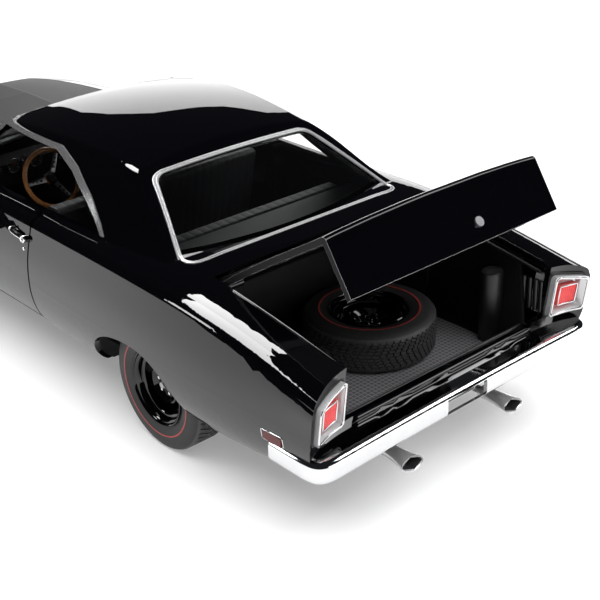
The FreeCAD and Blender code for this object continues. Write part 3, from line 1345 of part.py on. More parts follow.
for name, panel in body_panels().items():
    feature(name, panel)
feature("windshield_glass", pane(WINDSHIELD_SHARES))
feature("rear_window_glass", pane(BACKLIGHT_SHARES))
feature("windshield_trim", window_frame(WINDSHIELD_SHARES))
feature("rear_window_trim", window_frame(BACKLIGHT_SHARES))
feature("side_window_trims", side_frames())
feature("rear_bumper", rear_bumper())
feature("front_bumper", front_bumper())
feature("grille", grille())
feature("headlamp_bezels", headlamp_bezels())
feature("headlamps", headlamps())
feature("tail_lamp_bezels", tail_lamp_bezels())
feature("tail_lamp_lenses", tail_lamp_lenses())
feature("side_markers", side_markers())
feature("chassis_pan", chassis_pan())
feature("wheel_housings", wheel_housings())
feature("rear_axle_housing", rear_axle_housing())
feature("front_suspension", front_suspension())
feature("exhaust_pipes", exhaust_pipes())
feature("exhaust_tips", exhaust_tips())
feature("engine_block", engine_block())
feature("trunk_liner", trunk_liner())
spare(TYRE_OUTLINE, "spare_tyre")
spare(RIM_OUTLINE, "spare_rim")
feature("cabin_floor", cabin_floor())
feature("front_seat", front_seat())
feature("rear_seat", rear_seat())
feature("dashboard", dashboard())
feature("steering_column", steering_column())
feature("steering_wheel", steering_wheel())
feature("door_hinges", door_hinges())
feature("door_left", door())
feature("door_right", mirrored(door()))
feature("door_handle_left", door_handle())
feature("door_handle_right", mirrored(door_handle()))
feature("side_mirror_left", side_mirror())
feature("hood", hood())
feature("trunk_lid", opened(trunk_lid_closed()))
feature("trunk_lock", opened(trunk_lock_closed()))
feature("knuckle_left", knuckle())
feature("knuckle_right", mirrored(knuckle()))
feature("rear_axle_shaft", rear_axle_shaft())
for side, hand in ((1, "left"), (-1, "right")):
    wheel("front_" + hand, "front_axle_x", "front_track_half", side)
    wheel("rear_" + hand, "rear_axle_x", "rear_track_half", side)

doc.recompute()
failed = [item.Label for item in doc.Objects if "Invalid" in item.State or "Error" in item.State]
if failed:
    raise RuntimeError("not computed: " + ", ".join(failed))
os.makedirs("parts", exist_ok=True)
parts = [item for item in doc.Objects if item.TypeId in ("Part::Feature", "PartDesign::Body")]
for part in parts:
    if part.Shape.isNull() or not part.Shape.isValid() or not part.Shape.Solids:
        raise RuntimeError("no valid solid: " + part.Label)
for part in parts:
    part.Shape.exportStep(os.path.join("parts", part.Label + ".step"))
print("lid axis", round(S.lid_hinge_x, 3), round(LID_AXIS_Z, 3))
print("hood axis", round(S.hood_hinge_x, 3), round(HOOD_AXIS_Z, 3))
print("door axis", round(DOOR_AXIS_X, 3), round(DOOR_AXIS_Y, 3))
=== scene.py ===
"""Looks of a 1:18 die-cast hardtop muscle car whose trunk lid stands open, with shapes in millimetres."""
import math

import bmesh
import bpy
from mathutils import Matrix, Vector
from mathutils.bvhtree import BVHTree


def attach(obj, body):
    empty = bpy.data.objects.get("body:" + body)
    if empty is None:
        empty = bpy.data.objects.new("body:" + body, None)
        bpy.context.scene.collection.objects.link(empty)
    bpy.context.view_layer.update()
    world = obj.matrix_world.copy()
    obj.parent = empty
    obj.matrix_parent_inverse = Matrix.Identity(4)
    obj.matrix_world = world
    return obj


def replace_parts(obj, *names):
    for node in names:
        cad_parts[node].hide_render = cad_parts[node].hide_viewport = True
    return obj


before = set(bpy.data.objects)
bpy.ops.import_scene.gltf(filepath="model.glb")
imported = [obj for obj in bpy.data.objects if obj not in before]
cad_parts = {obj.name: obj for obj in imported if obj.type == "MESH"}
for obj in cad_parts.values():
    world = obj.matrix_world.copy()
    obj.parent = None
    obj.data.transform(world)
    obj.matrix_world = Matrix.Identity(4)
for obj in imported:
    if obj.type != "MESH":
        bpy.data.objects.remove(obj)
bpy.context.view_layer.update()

MM = 0.001
MERGE = 0.002
SIDES = ((1, "left"), (-1, "right"))

# Rays that seat a piece start at these places outside the car, or this far off a window
BEHIND, AHEAD, BESIDE, ABOVE = -160.0, 170.0, 70.0, 90.0
STANDOFF = 30.0


# Finishes

MIX_FACTOR, MIX_FIRST, MIX_SECOND, MIX_RESULT = 0, 6, 7, 2


class Signal:
    """A value that runs through a finish: each sum adds the node that works it out."""

    def __init__(self, finish, socket):
        self.finish, self.socket = finish, socket

    def math(self, operation, *values):
        return self.finish.node("Math", {"operation": operation}, *values)

    def __add__(self, other):
        return self.math("ADD", self, other)

    __radd__ = __add__

    def __rsub__(self, other):
        return self.math("SUBTRACT", other, self)

    def __mul__(self, other):
        return self.math("MULTIPLY", self, other)

    def __pow__(self, other):
        return self.math("POWER", self, other)

    def above(self, level):
        return self.math("GREATER_THAN", self, level)

    def wave(self):
        return self.math("SINE", self)

    def size(self):
        return self.math("ABSOLUTE", self)

    def capped(self, level):
        return self.math("MINIMUM", self, level)


class Finish:
    """One surface finish. Constants sit on the shader, and what varies follows the piece's own coordinates."""

    def __init__(self, name, **constants):
        self.material = bpy.data.materials.new(name)
        self.material.use_nodes = True
        self.tree = self.material.node_tree
        self.shader = next(node for node in self.tree.nodes if node.type == "BSDF_PRINCIPLED")
        self.shade(**constants)
        place = self.node("TexCoord", {}, output="Object")
        self.place = self.node("Mapping", {}, place, output="Vector", Scale=(1 / MM, 1 / MM, 1 / MM))

    def shade(self, **values):
        """Feeds the shader's inputs, whose names are written with underscores."""
        for words, value in values.items():
            self.feed(self.shader.inputs[words.replace("_", " ")], value)
        return self

    def feed(self, socket, value):
        if isinstance(value, Signal):
            self.tree.links.new(value.socket, socket)
        elif hasattr(socket.default_value, "__len__"):
            value = tuple(value)
            socket.default_value = value + (1.0,) if len(socket.default_value) > len(value) else value
        else:
            socket.default_value = value

    def node(self, kind, settings, *values, output=0, **named):
        made = self.tree.nodes.new("ShaderNode" + kind)
        for key, value in settings.items():
            setattr(made, key, value)
        for slot, value in [*enumerate(values), *named.items()]:
            self.feed(made.inputs[slot], value)
        return Signal(self, made.outputs[output])

    def axis(self, letter):
        return self.node("SeparateXYZ", {}, self.place, output=letter)

    def noise(self, scale, detail=2.0, roughness=0.5):
        """Soft mottling whose scale is in waves per millimetre."""
        return self.node("TexNoise", {}, Vector=self.place, Scale=scale, Detail=detail, Roughness=roughness)

    def cells(self, scale):
        return self.node("TexVoronoi", {}, Vector=self.place, Scale=scale, output="Distance")

    def blend(self, factor, first, second):
        mixed = self.tree.nodes.new("ShaderNodeMix")
        mixed.data_type = "RGBA"
        self.feed(mixed.inputs[MIX_FACTOR], factor)
        self.feed(mixed.inputs[MIX_FIRST], first)
        self.feed(mixed.inputs[MIX_SECOND], second)
        return Signal(self, mixed.outputs[MIX_RESULT])

    def mottled(self, pattern, dark, light, smooth, spread, depth=0.0, strength=0.0):
        """Runs from dark to light, and from smooth to rougher by the spread, as one pattern rises."""
        self.shade(Base_Color=self.blend(pattern, dark, light), Roughness=smooth + pattern * spread)
        return self.bump(pattern, depth, strength) if depth else self

    def bump(self, height, depth, strength):
        """Relief from a height between 0 and 1; the depth is in millimetres."""
        relief = self.node("Bump", {}, output="Normal", Height=height, Distance=depth * MM, Strength=strength)
        return self.shade(Normal=relief)


def gloss_paint(name):
    """Black lacquer: all its shine comes from one clear coat."""
    made = Finish(name, Coat_Weight=1.0, Coat_Roughness=0.012, Coat_IOR=1.47, Specular_IOR_Level=0.0)
    return made.mottled(made.noise(0.55, 3.0), (0.0005, 0.0005, 0.0010), (0.0010, 0.0010, 0.0016),
                        smooth=0.25, spread=0.1)


def painted_edge_highlight():
    """A painted highlight: bright grey metal colour on a panel's rounded edge, where the black lacquer catches
    the light.
    """
    made = Finish("lid_edge_painted_highlight", Metallic=0.5, Coat_Weight=0.6, Coat_Roughness=0.03)
    return made.mottled(made.noise(1.4, 4.0, 0.7), (0.3, 0.3, 0.31), (0.8, 0.8, 0.81), smooth=0.12, spread=0.2)


def matt_paint():
    made = Finish("paint_matt_black")
    return made.mottled(made.noise(9.0, 4.0, 0.7), (0.005, 0.005, 0.0055), (0.011, 0.011, 0.0115),
                        smooth=0.46, spread=0.14, depth=0.02, strength=0.5)


def bright_chrome():
    made = Finish("chrome", Metallic=1.0)
    made.mottled(made.noise(0.35, 4.0, 0.6), (0.57, 0.575, 0.585), (0.64, 0.645, 0.65),
                 smooth=0.025, spread=0.05)
    return made.bump(made.noise(0.5), depth=0.01, strength=0.2)


def plated_plastic(name, metallic):
    """Bright plating on moulded plastic, whose walls still catch the light of the room."""
    made = Finish(name, Metallic=metallic, Coat_Weight=0.4, Coat_Roughness=0.04)
    return made.mottled(made.noise(1.2, 3.0, 0.6), (0.54, 0.54, 0.55), (0.70, 0.70, 0.71),
                        smooth=0.10, spread=0.1, depth=0.02, strength=0.3)


def satin_metal():
    """Silver foil on plastic, which scatters as much light as it mirrors."""
    made = Finish("satin_silver", Metallic=0.6)
    return made.mottled(made.noise(6.0, 3.0, 0.6), (0.44, 0.44, 0.45), (0.60, 0.605, 0.61),
                        smooth=0.20, spread=0.16, depth=0.012, strength=0.4)


def bare_steel():
    made = Finish("bare_steel", Metallic=1.0)
    return made.mottled(made.noise(4.0, 5.0, 0.65), (0.24, 0.24, 0.25), (0.44, 0.44, 0.45),
                        smooth=0.28, spread=0.2, depth=0.02, strength=0.5)


def moulded_plastic(name, dark, light, roughness):
    made = Finish(name)
    return made.mottled(made.noise(7.0, 5.0, 0.6), dark, light,
                        smooth=roughness - 0.06, spread=0.14, depth=0.03, strength=0.5)


def clear_glass():
    made = Finish("clear_glass", Base_Color=(0.93, 0.95, 0.95), Transmission_Weight=1.0, IOR=1.45,
                  Coat_Weight=0.3)
    return made.shade(Roughness=0.004 + made.noise(0.3) * 0.012)


def tinted_lens(name, deep, pale):
    """Moulded lamp plastic with fine vertical flutes and a soft mottle; the flutes are also painted into its
    colour, lighter on their crests and darker in their hollows, as painted light and shade.
    """
    made = Finish(name, Specular_IOR_Level=0.25, Subsurface_Weight=0.2, Subsurface_Scale=0.6 * MM)
    flutes = (made.axis("Y") * 9.0).wave() * 0.5 + 0.5
    mottle = made.noise(1.6)
    # The mottle is the plastic's own tone; the flutes in the colour are painted highlights on their crests and
    # painted shade in their hollows.
    made.shade(Base_Color=made.blend(mottle * 0.7 + flutes * 0.3, deep, pale), Roughness=0.2 + mottle * 0.1)
    return made.bump(flutes, depth=0.05, strength=0.6)


def satin_black(name, roughness, shine=0.5):
    """Sprayed black with a soft shine and a fine orange peel."""
    made = Finish(name, Specular_IOR_Level=shine)
    return made.mottled(made.noise(2.6, 3.0, 0.55), (0.004, 0.004, 0.0045), (0.009, 0.009, 0.0095),
                        smooth=roughness - 0.04, spread=0.08, depth=0.02, strength=0.35)


def pleated_vinyl():
    """Seat vinyl with sewn pleats that run from front to back, and a fine grain on them; its colour darkens into
    each seam as painted shade.
    """
    made = Finish("pleated_vinyl", Coat_Weight=0.12, Coat_Roughness=0.35)
    pleat_width = 3.1
    pleats = (made.axis("Y") * (math.pi / pleat_width)).wave().size() ** 0.35
    grain = made.cells(3.4)
    # The grain gives the vinyl's own tone; the pleats darken the colour into each seam as painted shade.
    grain_and_seam_shade = made.blend(grain * 0.4 + pleats * 0.6, (0.006, 0.006, 0.007), (0.021, 0.021, 0.023))
    made.shade(Base_Color=grain_and_seam_shade, Roughness=0.38 + grain * 0.2)
    return made.bump(pleats * 0.85 + grain * 0.15, depth=0.35, strength=0.8)


def fluted_glass():
    """Headlamp glass, silvered behind and fluted down its face; its colour runs lighter and darker with the
    flutes as painted reflection.
    """
    made = Finish("fluted_lamp_glass", Metallic=0.7, Coat_Weight=1.0, Coat_Roughness=0.02)
    flutes = (made.axis("Y") * 6.5).wave() * 0.5 + 0.5
    steps = (made.axis("Z") * 3.1).wave().above(0.55)
    # The flutes paint bright and dark stripes into the colour: painted reflection.
    made.mottled(flutes, (0.42, 0.43, 0.45), (0.72, 0.73, 0.75), smooth=0.08, spread=0.1)
    return made.bump(flutes * 0.7 + steps * 0.3, depth=0.12, strength=0.7)


def grained_vinyl():
    made = Finish("black_vinyl", Coat_Weight=0.15, Coat_Roughness=0.35)
    return made.mottled(made.cells(3.2), (0.008, 0.008, 0.009), (0.020, 0.020, 0.022),
                        smooth=0.36, spread=0.25, depth=0.05, strength=0.6)


def varnished_wood():
    made = Finish("varnished_wood", Coat_Weight=0.8, Coat_Roughness=0.08)
    stretched = made.node("Mapping", {}, made.place, output="Vector", Scale=(0.25, 1.6, 1.6))
    rings = made.node("TexNoise", {}, Vector=stretched, Scale=1.4, Detail=5.0, Roughness=0.6)
    bands = (rings * 26.0).wave() * 0.5 + 0.5
    figure = made.blend(bands * 0.6 + rings * 0.4, (0.20, 0.065, 0.018), (0.46, 0.20, 0.065))
    made.shade(Base_Color=figure, Roughness=0.2 + rings * 0.12)
    return made.bump(bands, depth=0.02, strength=0.3)


def tyre_rubber(name, dark, light, roughness):
    made = Finish(name)
    made.mottled(made.noise(1.3, 5.0, 0.65), dark, light, smooth=roughness - 0.08, spread=0.2)
    return made.bump(made.noise(14.0, 3.0), depth=0.02, strength=0.6)


def red_band():
    made = Finish("red_tyre_band")
    return made.mottled(made.noise(2.2, 5.0, 0.6), (0.30, 0.022, 0.018), (0.50, 0.05, 0.035),
                        smooth=0.42, spread=0.15)


def checked_mat():
    """Grey trunk mat printed with a small square lattice, paler along the lines."""
    made = Finish("checked_mat")
    square = 1.32
    across = (made.axis("X") * (math.pi / square)).wave().size()
    along = (made.axis("Y") * (math.pi / square)).wave().size()
    lattice = 1.0 - (across.capped(along) * 1.9).capped(1.0)
    fibre = made.noise(8.0, 4.0, 0.7)
    cell = made.blend(fibre, (0.060, 0.058, 0.064), (0.092, 0.089, 0.096))
    made.shade(Base_Color=made.blend(lattice * 0.85, cell, (0.25, 0.245, 0.255)), Roughness=0.75 + fibre * 0.15)
    return made.bump(lattice * 0.6 + fibre * 0.4, depth=0.05, strength=0.6)


def rubber_seal():
    made = Finish("black_rubber")
    return made.mottled(made.noise(6.0, 3.0), (0.008, 0.008, 0.008), (0.018, 0.018, 0.018),
                        smooth=0.5, spread=0.15, depth=0.02, strength=0.5)


PAINT = gloss_paint("paint_gloss_black")
# Bright grey painted highlight for the trunk lid's rounded edges
EDGE_PAINTED_HIGHLIGHT = painted_edge_highlight()
MATT = matt_paint()
CHROME = bright_chrome()
SATIN = satin_metal()
PLATED = plated_plastic("plated_plastic", 0.5)
TIP_CHROME = plated_plastic("exhaust_plating", 0.6)
WINDOW_TRIM = plated_plastic("window_trim_plating", 0.85)
STEEL = bare_steel()
GLASS = clear_glass()
RED_LENS = tinted_lens("red_lens", (0.50, 0.018, 0.022), (0.72, 0.07, 0.07))
PLASTIC = moulded_plastic("black_plastic", (0.008, 0.008, 0.009), (0.020, 0.020, 0.021), 0.5)
GREY_PLASTIC = moulded_plastic("grey_plastic", (0.13, 0.13, 0.135), (0.22, 0.22, 0.225), 0.5)
VINYL = grained_vinyl()
WOOD = varnished_wood()
RUBBER = tyre_rubber("tyre_rubber", (0.010, 0.010, 0.011), (0.022, 0.021, 0.022), 0.6)
TREAD = tyre_rubber("tread_rubber", (0.022, 0.022, 0.023), (0.050, 0.049, 0.050), 0.46)
RED_BAND = red_band()
MAT = checked_mat()
SEAL = rubber_seal()
WHEEL_BLACK = gloss_paint("wheel_gloss_black")
TRUNK_BLACK = satin_black("trunk_satin_black", 0.3)
SHELF = satin_black("shelf_satin_black", 0.42)
# A duller black for the trunk lid's end faces, as painted shade
LID_SIDE_PAINTED_SHADE = satin_black("lid_side_painted_shade", 0.5, 0.12)
BENCH = pleated_vinyl()
MARKER_RED = tinted_lens("dark_red_marker", (0.07, 0.008, 0.008), (0.12, 0.02, 0.02))
LAMP_GLASS = fluted_glass()
MARKINGS = moulded_plastic("dial_markings", (0.55, 0.55, 0.53), (0.72, 0.72, 0.70), 0.5)
PLATE = moulded_plastic("blank_plate", (0.030, 0.030, 0.032), (0.050, 0.050, 0.053), 0.45)

# Finishes of the CAD nodes that show themselves
CARRIED = {
    PAINT: ["roof_shell", "cowl_and_rear_deck", "nose_panel", "front_fenders", "rocker_sills", "rear_quarters",
            "door_left", "door_right"],
    MATT: ["hood"],
    GLASS: ["windshield_glass", "rear_window_glass"],
    SATIN: ["windshield_trim", "rear_window_trim"],
    WINDOW_TRIM: ["side_window_trims"],
    CHROME: ["rear_bumper", "front_bumper", "headlamp_bezels", "side_mirror_left"],
    PLATED: ["tail_lamp_bezels"],
    LAMP_GLASS: ["headlamps"],
    MARKER_RED: ["side_markers"],
    PLASTIC: ["wheel_housings", "grille", "chassis_pan", "rear_axle_housing", "front_suspension", "dashboard",
              "steering_column"],
    GREY_PLASTIC: ["engine_block", "exhaust_pipes"],
    SHELF: ["cabin_floor"],
    BENCH: ["front_seat", "rear_seat"],
    STEEL: ["trunk_lock", "door_hinges", "knuckle_left", "knuckle_right", "rear_axle_shaft"],
}
for finish, nodes in CARRIED.items():
    for node in nodes:
        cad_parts[node].data.materials.clear()
        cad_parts[node].data.materials.append(finish.material)


# Making pieces

def linked(name, data):
    made = bpy.data.objects.new(name, data)
    bpy.context.scene.collection.objects.link(made)
    return made


def piece(name, bm, finishes, body="car_body", angle=35.0, closed=True):
    """Turns a mesh in millimetres into a finished piece that rides on a body of the car."""
    bmesh.ops.scale(bm, vec=(MM, MM, MM), verts=bm.verts)
    bmesh.ops.remove_doubles(bm, verts=bm.verts, dist=MERGE * MM)
    if closed:
        bmesh.ops.recalc_face_normals(bm, faces=bm.faces)
    mesh = bpy.data.meshes.new(name)
    bm.to_mesh(mesh)
    bm.free()
    made = linked(name, mesh)
    for finish in finishes:
        mesh.materials.append(finish.material)
    mesh.shade_smooth()
    mesh.set_sharp_from_angle(angle=math.radians(angle))
    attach(made, body)
    return made


def rotation(degrees, axis):
    return Matrix.Rotation(math.radians(degrees), 4, axis)


def put(bm, matrix, verts=None):
    bmesh.ops.transform(bm, matrix=matrix, verts=bm.verts if verts is None else verts)


def shift(bm, verts, way):
    bmesh.ops.translate(bm, verts=verts, vec=way)


def turn(bm, verts, degrees, axis):
    bmesh.ops.rotate(bm, verts=verts, cent=(0, 0, 0), matrix=Matrix.Rotation(math.radians(degrees), 3, axis))


def added(bm, before):
    return [vert for vert in bm.verts if vert not in before]


def dress(verts, material):
    """Gives the faces at some vertices one of their piece's finishes."""
    for face in {face for vert in verts for face in vert.link_faces}:
        face.material_index = material


def rounded(bm, edges, offset, segments):
    return bmesh.ops.bevel(bm, geom=edges, offset=offset, offset_type="OFFSET", affect="EDGES", segments=segments,
                           profile=0.5, material=-1, clamp_overlap=True)


def turned(bm, outline, steps, material=0):
    """Spins an outline of radius and height about the Y axis."""
    verts = [bm.verts.new((radius, height, 0)) for radius, height in outline]
    edges = [bm.edges.new((verts[i - 1], verts[i])) for i in range(len(verts))]
    before = set(bm.faces)
    bmesh.ops.spin(bm, geom=verts + edges, cent=(0, 0, 0), axis=(0, 1, 0), angle=2 * math.pi, steps=steps,
                   use_merge=True)
    faces = [face for face in bm.faces if face not in before]
    for face in faces:
        face.material_index = material
    return faces


def cone(bm, low_radius, high_radius, low, high, sides, material=0):
    """A round block along Z from one height to another; returns its vertices."""
    verts = bmesh.ops.create_cone(bm, cap_ends=True, segments=sides, radius1=low_radius, radius2=high_radius,
                                  depth=high - low)["verts"]
    shift(bm, verts, (0, 0, (low + high) / 2))
    dress(verts, material)
    return verts


def disc_block(bm, radius, low, high, bevel, sides=24, place=(0, 0), material=0):
    """A short round block along Y, with bevelled rims, at a place of the XZ plane."""
    before = set(bm.verts)
    half = (high - low) / 2
    verts = cone(bm, radius, radius, -half, half, sides)
    turn(bm, verts, -90, "X")
    shift(bm, verts, (place[0], (low + high) / 2, place[1]))
    rims = {edge for vert in verts for edge in vert.link_edges if len(edge.link_faces) == 2
            and edge.calc_face_angle() > math.radians(60)}
    if bevel:
        rounded(bm, list(rims), bevel, 2)
    dress(added(bm, before), material)


def slab(bm, low, high, bevel=0.0, segments=2, material=0):
    """A block between two corners with all its edges bevelled; returns its vertices."""
    before = set(bm.verts)
    verts = bmesh.ops.create_cube(bm, size=1.0)["verts"]
    bmesh.ops.scale(bm, vec=[b - a for a, b in zip(low, high)], verts=verts)
    shift(bm, verts, [(a + b) / 2 for a, b in zip(low, high)])
    if bevel:
        rounded(bm, list({edge for vert in verts for edge in vert.link_edges}), bevel, segments)
    block = added(bm, before)
    dress(block, material)
    return block


# Tyres and rims

WHEEL_STEPS = 240
TYRE_RADIUS, TYRE_HALF = 18.4, 5.9
BAND_LOW, BAND_HIGH, SHOULDER_RADIUS = 13.75, 14.1, 18.0
TREAD_RADIUS, TREAD_HALF, ON_TREAD = 18.36, 4.2, 18.26
ROW_PITCH, SLIT, GROOVE_DEPTH, ZIGZAG, ZIGZAG_HALF = 0.9, 0.2, 0.45, 0.13, 3.9
SIDEWALL = [(10.6, 4.72), (10.9, 5.0), (11.9, 5.40), (12.6, 5.62), (13.62, 5.80), (13.72, 5.86), (14.12, 5.88),
            (14.22, 5.84), (15.4, 5.80), (16.5, 5.62), (17.3, 5.36), (17.95, 4.90), (18.28, 4.36)]
TREAD_ROWS = [TREAD_HALF] + [row * ROW_PITCH - edge for row in (4, 3, 2, 1) for edge in (SLIT, 2 * SLIT)]


def tyre_mesh():
    """A tyre about the Y axis, outer side towards +Y, with zigzag tread grooves and a red band on that side."""
    bm = bmesh.new()
    half = SIDEWALL + [(TREAD_RADIUS, level) for level in TREAD_ROWS]
    turned(bm, half + [(radius, -level) for radius, level in reversed(half)], WHEEL_STEPS)
    step = 2 * math.pi / WHEEL_STEPS

    def step_of(place):
        return round((math.atan2(place.z, place.x) + math.pi) / step)

    grooves = []
    for face in bm.faces:
        centre = face.calc_center_median()
        radius, level = math.hypot(centre.x, centre.z), abs(centre.y)
        if BAND_LOW < radius < BAND_HIGH and centre.y > 0:
            face.material_index = 1
        if radius > SHOULDER_RADIUS:
            face.material_index = 2
        if radius > ON_TREAD and level < TREAD_HALF:
            row, within = divmod(level + 2 * SLIT, ROW_PITCH)
            between_rows = within < SLIT and row > 0
            if between_rows or (step_of(centre) + int(row)) % 4 == 0:
                grooves.append(face)
    for vert in bm.verts:
        if math.hypot(vert.co.x, vert.co.z) > ON_TREAD and abs(vert.co.y) < ZIGZAG_HALF:
            vert.co.y += ZIGZAG * (1, 0, -1, 0)[step_of(vert.co) % 4]
    grown = bmesh.ops.extrude_face_region(bm, geom=grooves)
    bmesh.ops.delete(bm, geom=grooves, context="FACES_ONLY")
    verts = [item for item in grown["geom"] if isinstance(item, bmesh.types.BMVert)]
    shrink = 1 - GROOVE_DEPTH / TYRE_RADIUS
    bmesh.ops.scale(bm, vec=(shrink, 1, shrink), verts=verts)
    return bm


RIM_OUTLINE = [(1.06, 1.9), (2.2, 1.9), (3.9, 1.55), (4.7, 2.35), (5.2, 2.75), (5.65, 2.6), (6.0, 1.7),
               (7.3, 1.2), (8.1, 0.9), (8.35, 1.4), (8.45, 2.9), (8.7, 3.15), (9.25, 3.3), (9.4, 3.6), (9.5, 4.4),
               (9.75, 4.75), (10.3, 5.0), (10.45, 5.45), (10.75, 5.72), (11.0, 5.55), (11.0, 5.25), (10.4, 4.75),
               (10.4, -4.7), (9.6, -4.75), (8.6, -3.8), (8.5, 0.1), (7.4, 0.3), (6.1, 0.7), (5.2, 1.6),
               (3.9, 0.6), (2.2, 0.9), (1.06, 0.9)]
RIM_STEPS, VENTS, VENT_LOW, VENT_HIGH, VENT_DEPTH = 80, 10, 6.1, 7.3, 0.45
NUTS, NUT_CIRCLE, NUT_RADIUS, HUB_CAP_RADIUS = 5, 2.85, 0.52, 1.05


def rim_mesh():
    """A stamped steel wheel about the Y axis: stepped barrel, vented dish, raised ring, hub cap and nuts."""
    bm = bmesh.new()
    vents = []
    for face in turned(bm, RIM_OUTLINE, RIM_STEPS):
        centre = face.calc_center_median()
        share = math.degrees(math.atan2(centre.z, centre.x)) * VENTS / 360 % 1
        if VENT_LOW < math.hypot(centre.x, centre.z) < VENT_HIGH and centre.y > 1.0 and 0.25 < share < 0.75:
            vents.append(face)
    bmesh.ops.inset_region(bm, faces=vents, thickness=0.12, depth=-VENT_DEPTH, use_even_offset=True)
    for nut in range(NUTS):
        angle = 2 * math.pi * (nut + 0.25) / NUTS
        place = (NUT_CIRCLE * math.cos(angle), NUT_CIRCLE * math.sin(angle))
        disc_block(bm, NUT_RADIUS, 1.5, 2.5, 0.14, 6, place, 1)
    disc_block(bm, HUB_CAP_RADIUS, 1.7, 3.1, 0.35, material=1)
    return bm


def dressed_wheel(name, body, place, tyre, rim):
    """A tyre and rim that stand in for a wheel's plain nodes."""
    for kind, maker, finishes, slot, node in (("tyre", tyre_mesh, (RUBBER, RED_BAND, TREAD), "tyre", tyre),
                                              ("rim", rim_mesh, (WHEEL_BLACK, CHROME), "wheel_black", rim)):
        bm = maker()
        put(bm, place)
        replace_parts(piece("%s_dressed_%s" % (kind, name), bm, finishes, body), node)


FRONT_AXLE_X, REAR_AXLE_X, FRONT_TRACK_HALF, REAR_TRACK_HALF = 91.5, -72.2, 42.3, 42.0
TRUNK_FLOOR, SPARE_X, SPARE_Y, SPARE_GAP = 21.6, -99.6, -6.5, 0.15
for end, x, track_half in (("front", FRONT_AXLE_X, FRONT_TRACK_HALF), ("rear", REAR_AXLE_X, REAR_TRACK_HALF)):
    for side, hand in SIDES:
        corner = "%s_%s" % (end, hand)
        facing = rotation(0 if side > 0 else 180, "Z")
        dressed_wheel(corner, "wheel_" + corner if end == "front" else "rear_wheels",
                      Matrix.Translation((x, side * track_half, TYRE_RADIUS)) @ facing, "tyre_" + corner,
                      "rim_" + corner)
spare_place = Matrix.Translation((SPARE_X, SPARE_Y, TRUNK_FLOOR + SPARE_GAP + TYRE_HALF))
dressed_wheel("spare", "car_body", spare_place @ rotation(90, "X"), "spare_tyre",
              "spare_rim")


# Trunk mat

MAT_BACK, MAT_FRONT, MAT_HALF, MAT_SUNK, MAT_THICK = -130.2, -80.9, 32.2, 0.1, 0.25
mat = bmesh.new()
slab(mat, (MAT_BACK, -MAT_HALF, TRUNK_FLOOR - MAT_SUNK),
     (MAT_FRONT, MAT_HALF, TRUNK_FLOOR - MAT_SUNK + MAT_THICK), 0.1)
piece("trunk_mat", mat, (MAT,))


# Thin rear sill: the ledge over the tail skin and the trunk's rear wall stand closer to the bumper

def add_node(bm, node):
    start = len(bm.verts)
    bm.from_mesh(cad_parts[node].data)
    bm.verts.ensure_lookup_table()
    put(bm, Matrix.Scale(1 / MM, 4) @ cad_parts[node].matrix_world, bm.verts[start:])


def merged_copy(node):
    """A node's mesh in millimetres with its loose triangles joined."""
    bm = bmesh.new()
    add_node(bm, node)
    bmesh.ops.remove_doubles(bm, verts=bm.verts, dist=MERGE)
    return bm


SILL_SHIFT, SILL_DROP = 4.5, 1.3
SILL_FRONT_X, LEDGE_LOW_Z, LINER_WALL_X, LINER_WALL_TOP = -126.1, 29.0, -125.9, 30.0
sill = merged_copy("tail_panel")
for vert in sill.verts:
    if vert.co.x > SILL_FRONT_X:
        vert.co.x -= SILL_SHIFT
    if vert.co.z > LEDGE_LOW_Z:
        vert.co.z -= SILL_DROP
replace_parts(piece("tail_panel_dressed", sill, (PAINT,), closed=False), "tail_panel")
liner = merged_copy("trunk_liner")
for vert in liner.verts:
    if vert.co.x < LINER_WALL_X and vert.co.z < LINER_WALL_TOP:
        vert.co.x -= SILL_SHIFT
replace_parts(piece("trunk_liner_dressed", liner, (TRUNK_BLACK,), closed=False),
            "trunk_liner")


# Trunk lid with its panel edges rounded over, so that they catch the light, and their rounded faces coloured
# bright grey as a painted highlight

CREASE_LOW_Z, CREASE_ROUND, LID_EDGE_ROUND = 76.6, 1.1, 0.2


def sharp_edges(bm, sharper_than=30.0):
    return [edge for edge in bm.edges if len(edge.link_faces) == 2
            and edge.calc_face_angle() > math.radians(sharper_than)]


def lid_mesh():
    """Joins flat areas, rounds the tail crease widely, and breaks every other sharp edge of the pressed panel."""
    bm = merged_copy("trunk_lid")
    bmesh.ops.dissolve_limit(bm, angle_limit=math.radians(1.0), verts=bm.verts, edges=bm.edges,
                             use_dissolve_boundaries=False)
    crease = [edge for edge in sharp_edges(bm) if all(vert.co.z > CREASE_LOW_Z for vert in edge.verts)]
    rounded(bm, crease, CREASE_ROUND, 6)
    broken = rounded(bm, sharp_edges(bm), LID_EDGE_ROUND, 2)
    bm.normal_update()
    # Faces turned to the sides take the duller black: painted shade that keeps the lid's ends dark where the
    # lacquer would mirror the floor.
    for face in bm.faces:
        if abs(face.normal.y) > 0.9:
            face.material_index = 2
    # The rounded edge faces take the bright painted highlight.
    for face in broken["faces"]:
        face.material_index = 1
    bmesh.ops.triangulate(bm, faces=[face for face in bm.faces if len(face.verts) > 4])
    return bm


lid = piece("trunk_lid_dressed", lid_mesh(), (PAINT, EDGE_PAINTED_HIGHLIGHT, LID_SIDE_PAINTED_SHADE), "trunk_lid", 80.0, closed=False)
lid.modifiers.new("flat_areas_stay_flat", "WEIGHTED_NORMAL").keep_sharp = True
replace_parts(lid, "trunk_lid")


# Places on the car's skin

def surface_of(*names, forward=0.0):
    """The joined skin of some nodes, in millimetres and moved along the car, for seating pieces on it."""
    bm = bmesh.new()
    for name in names:
        add_node(bm, name)
    shift(bm, bm.verts, (forward, 0, 0))
    tree = BVHTree.FromBMesh(bm)
    bm.free()
    return tree


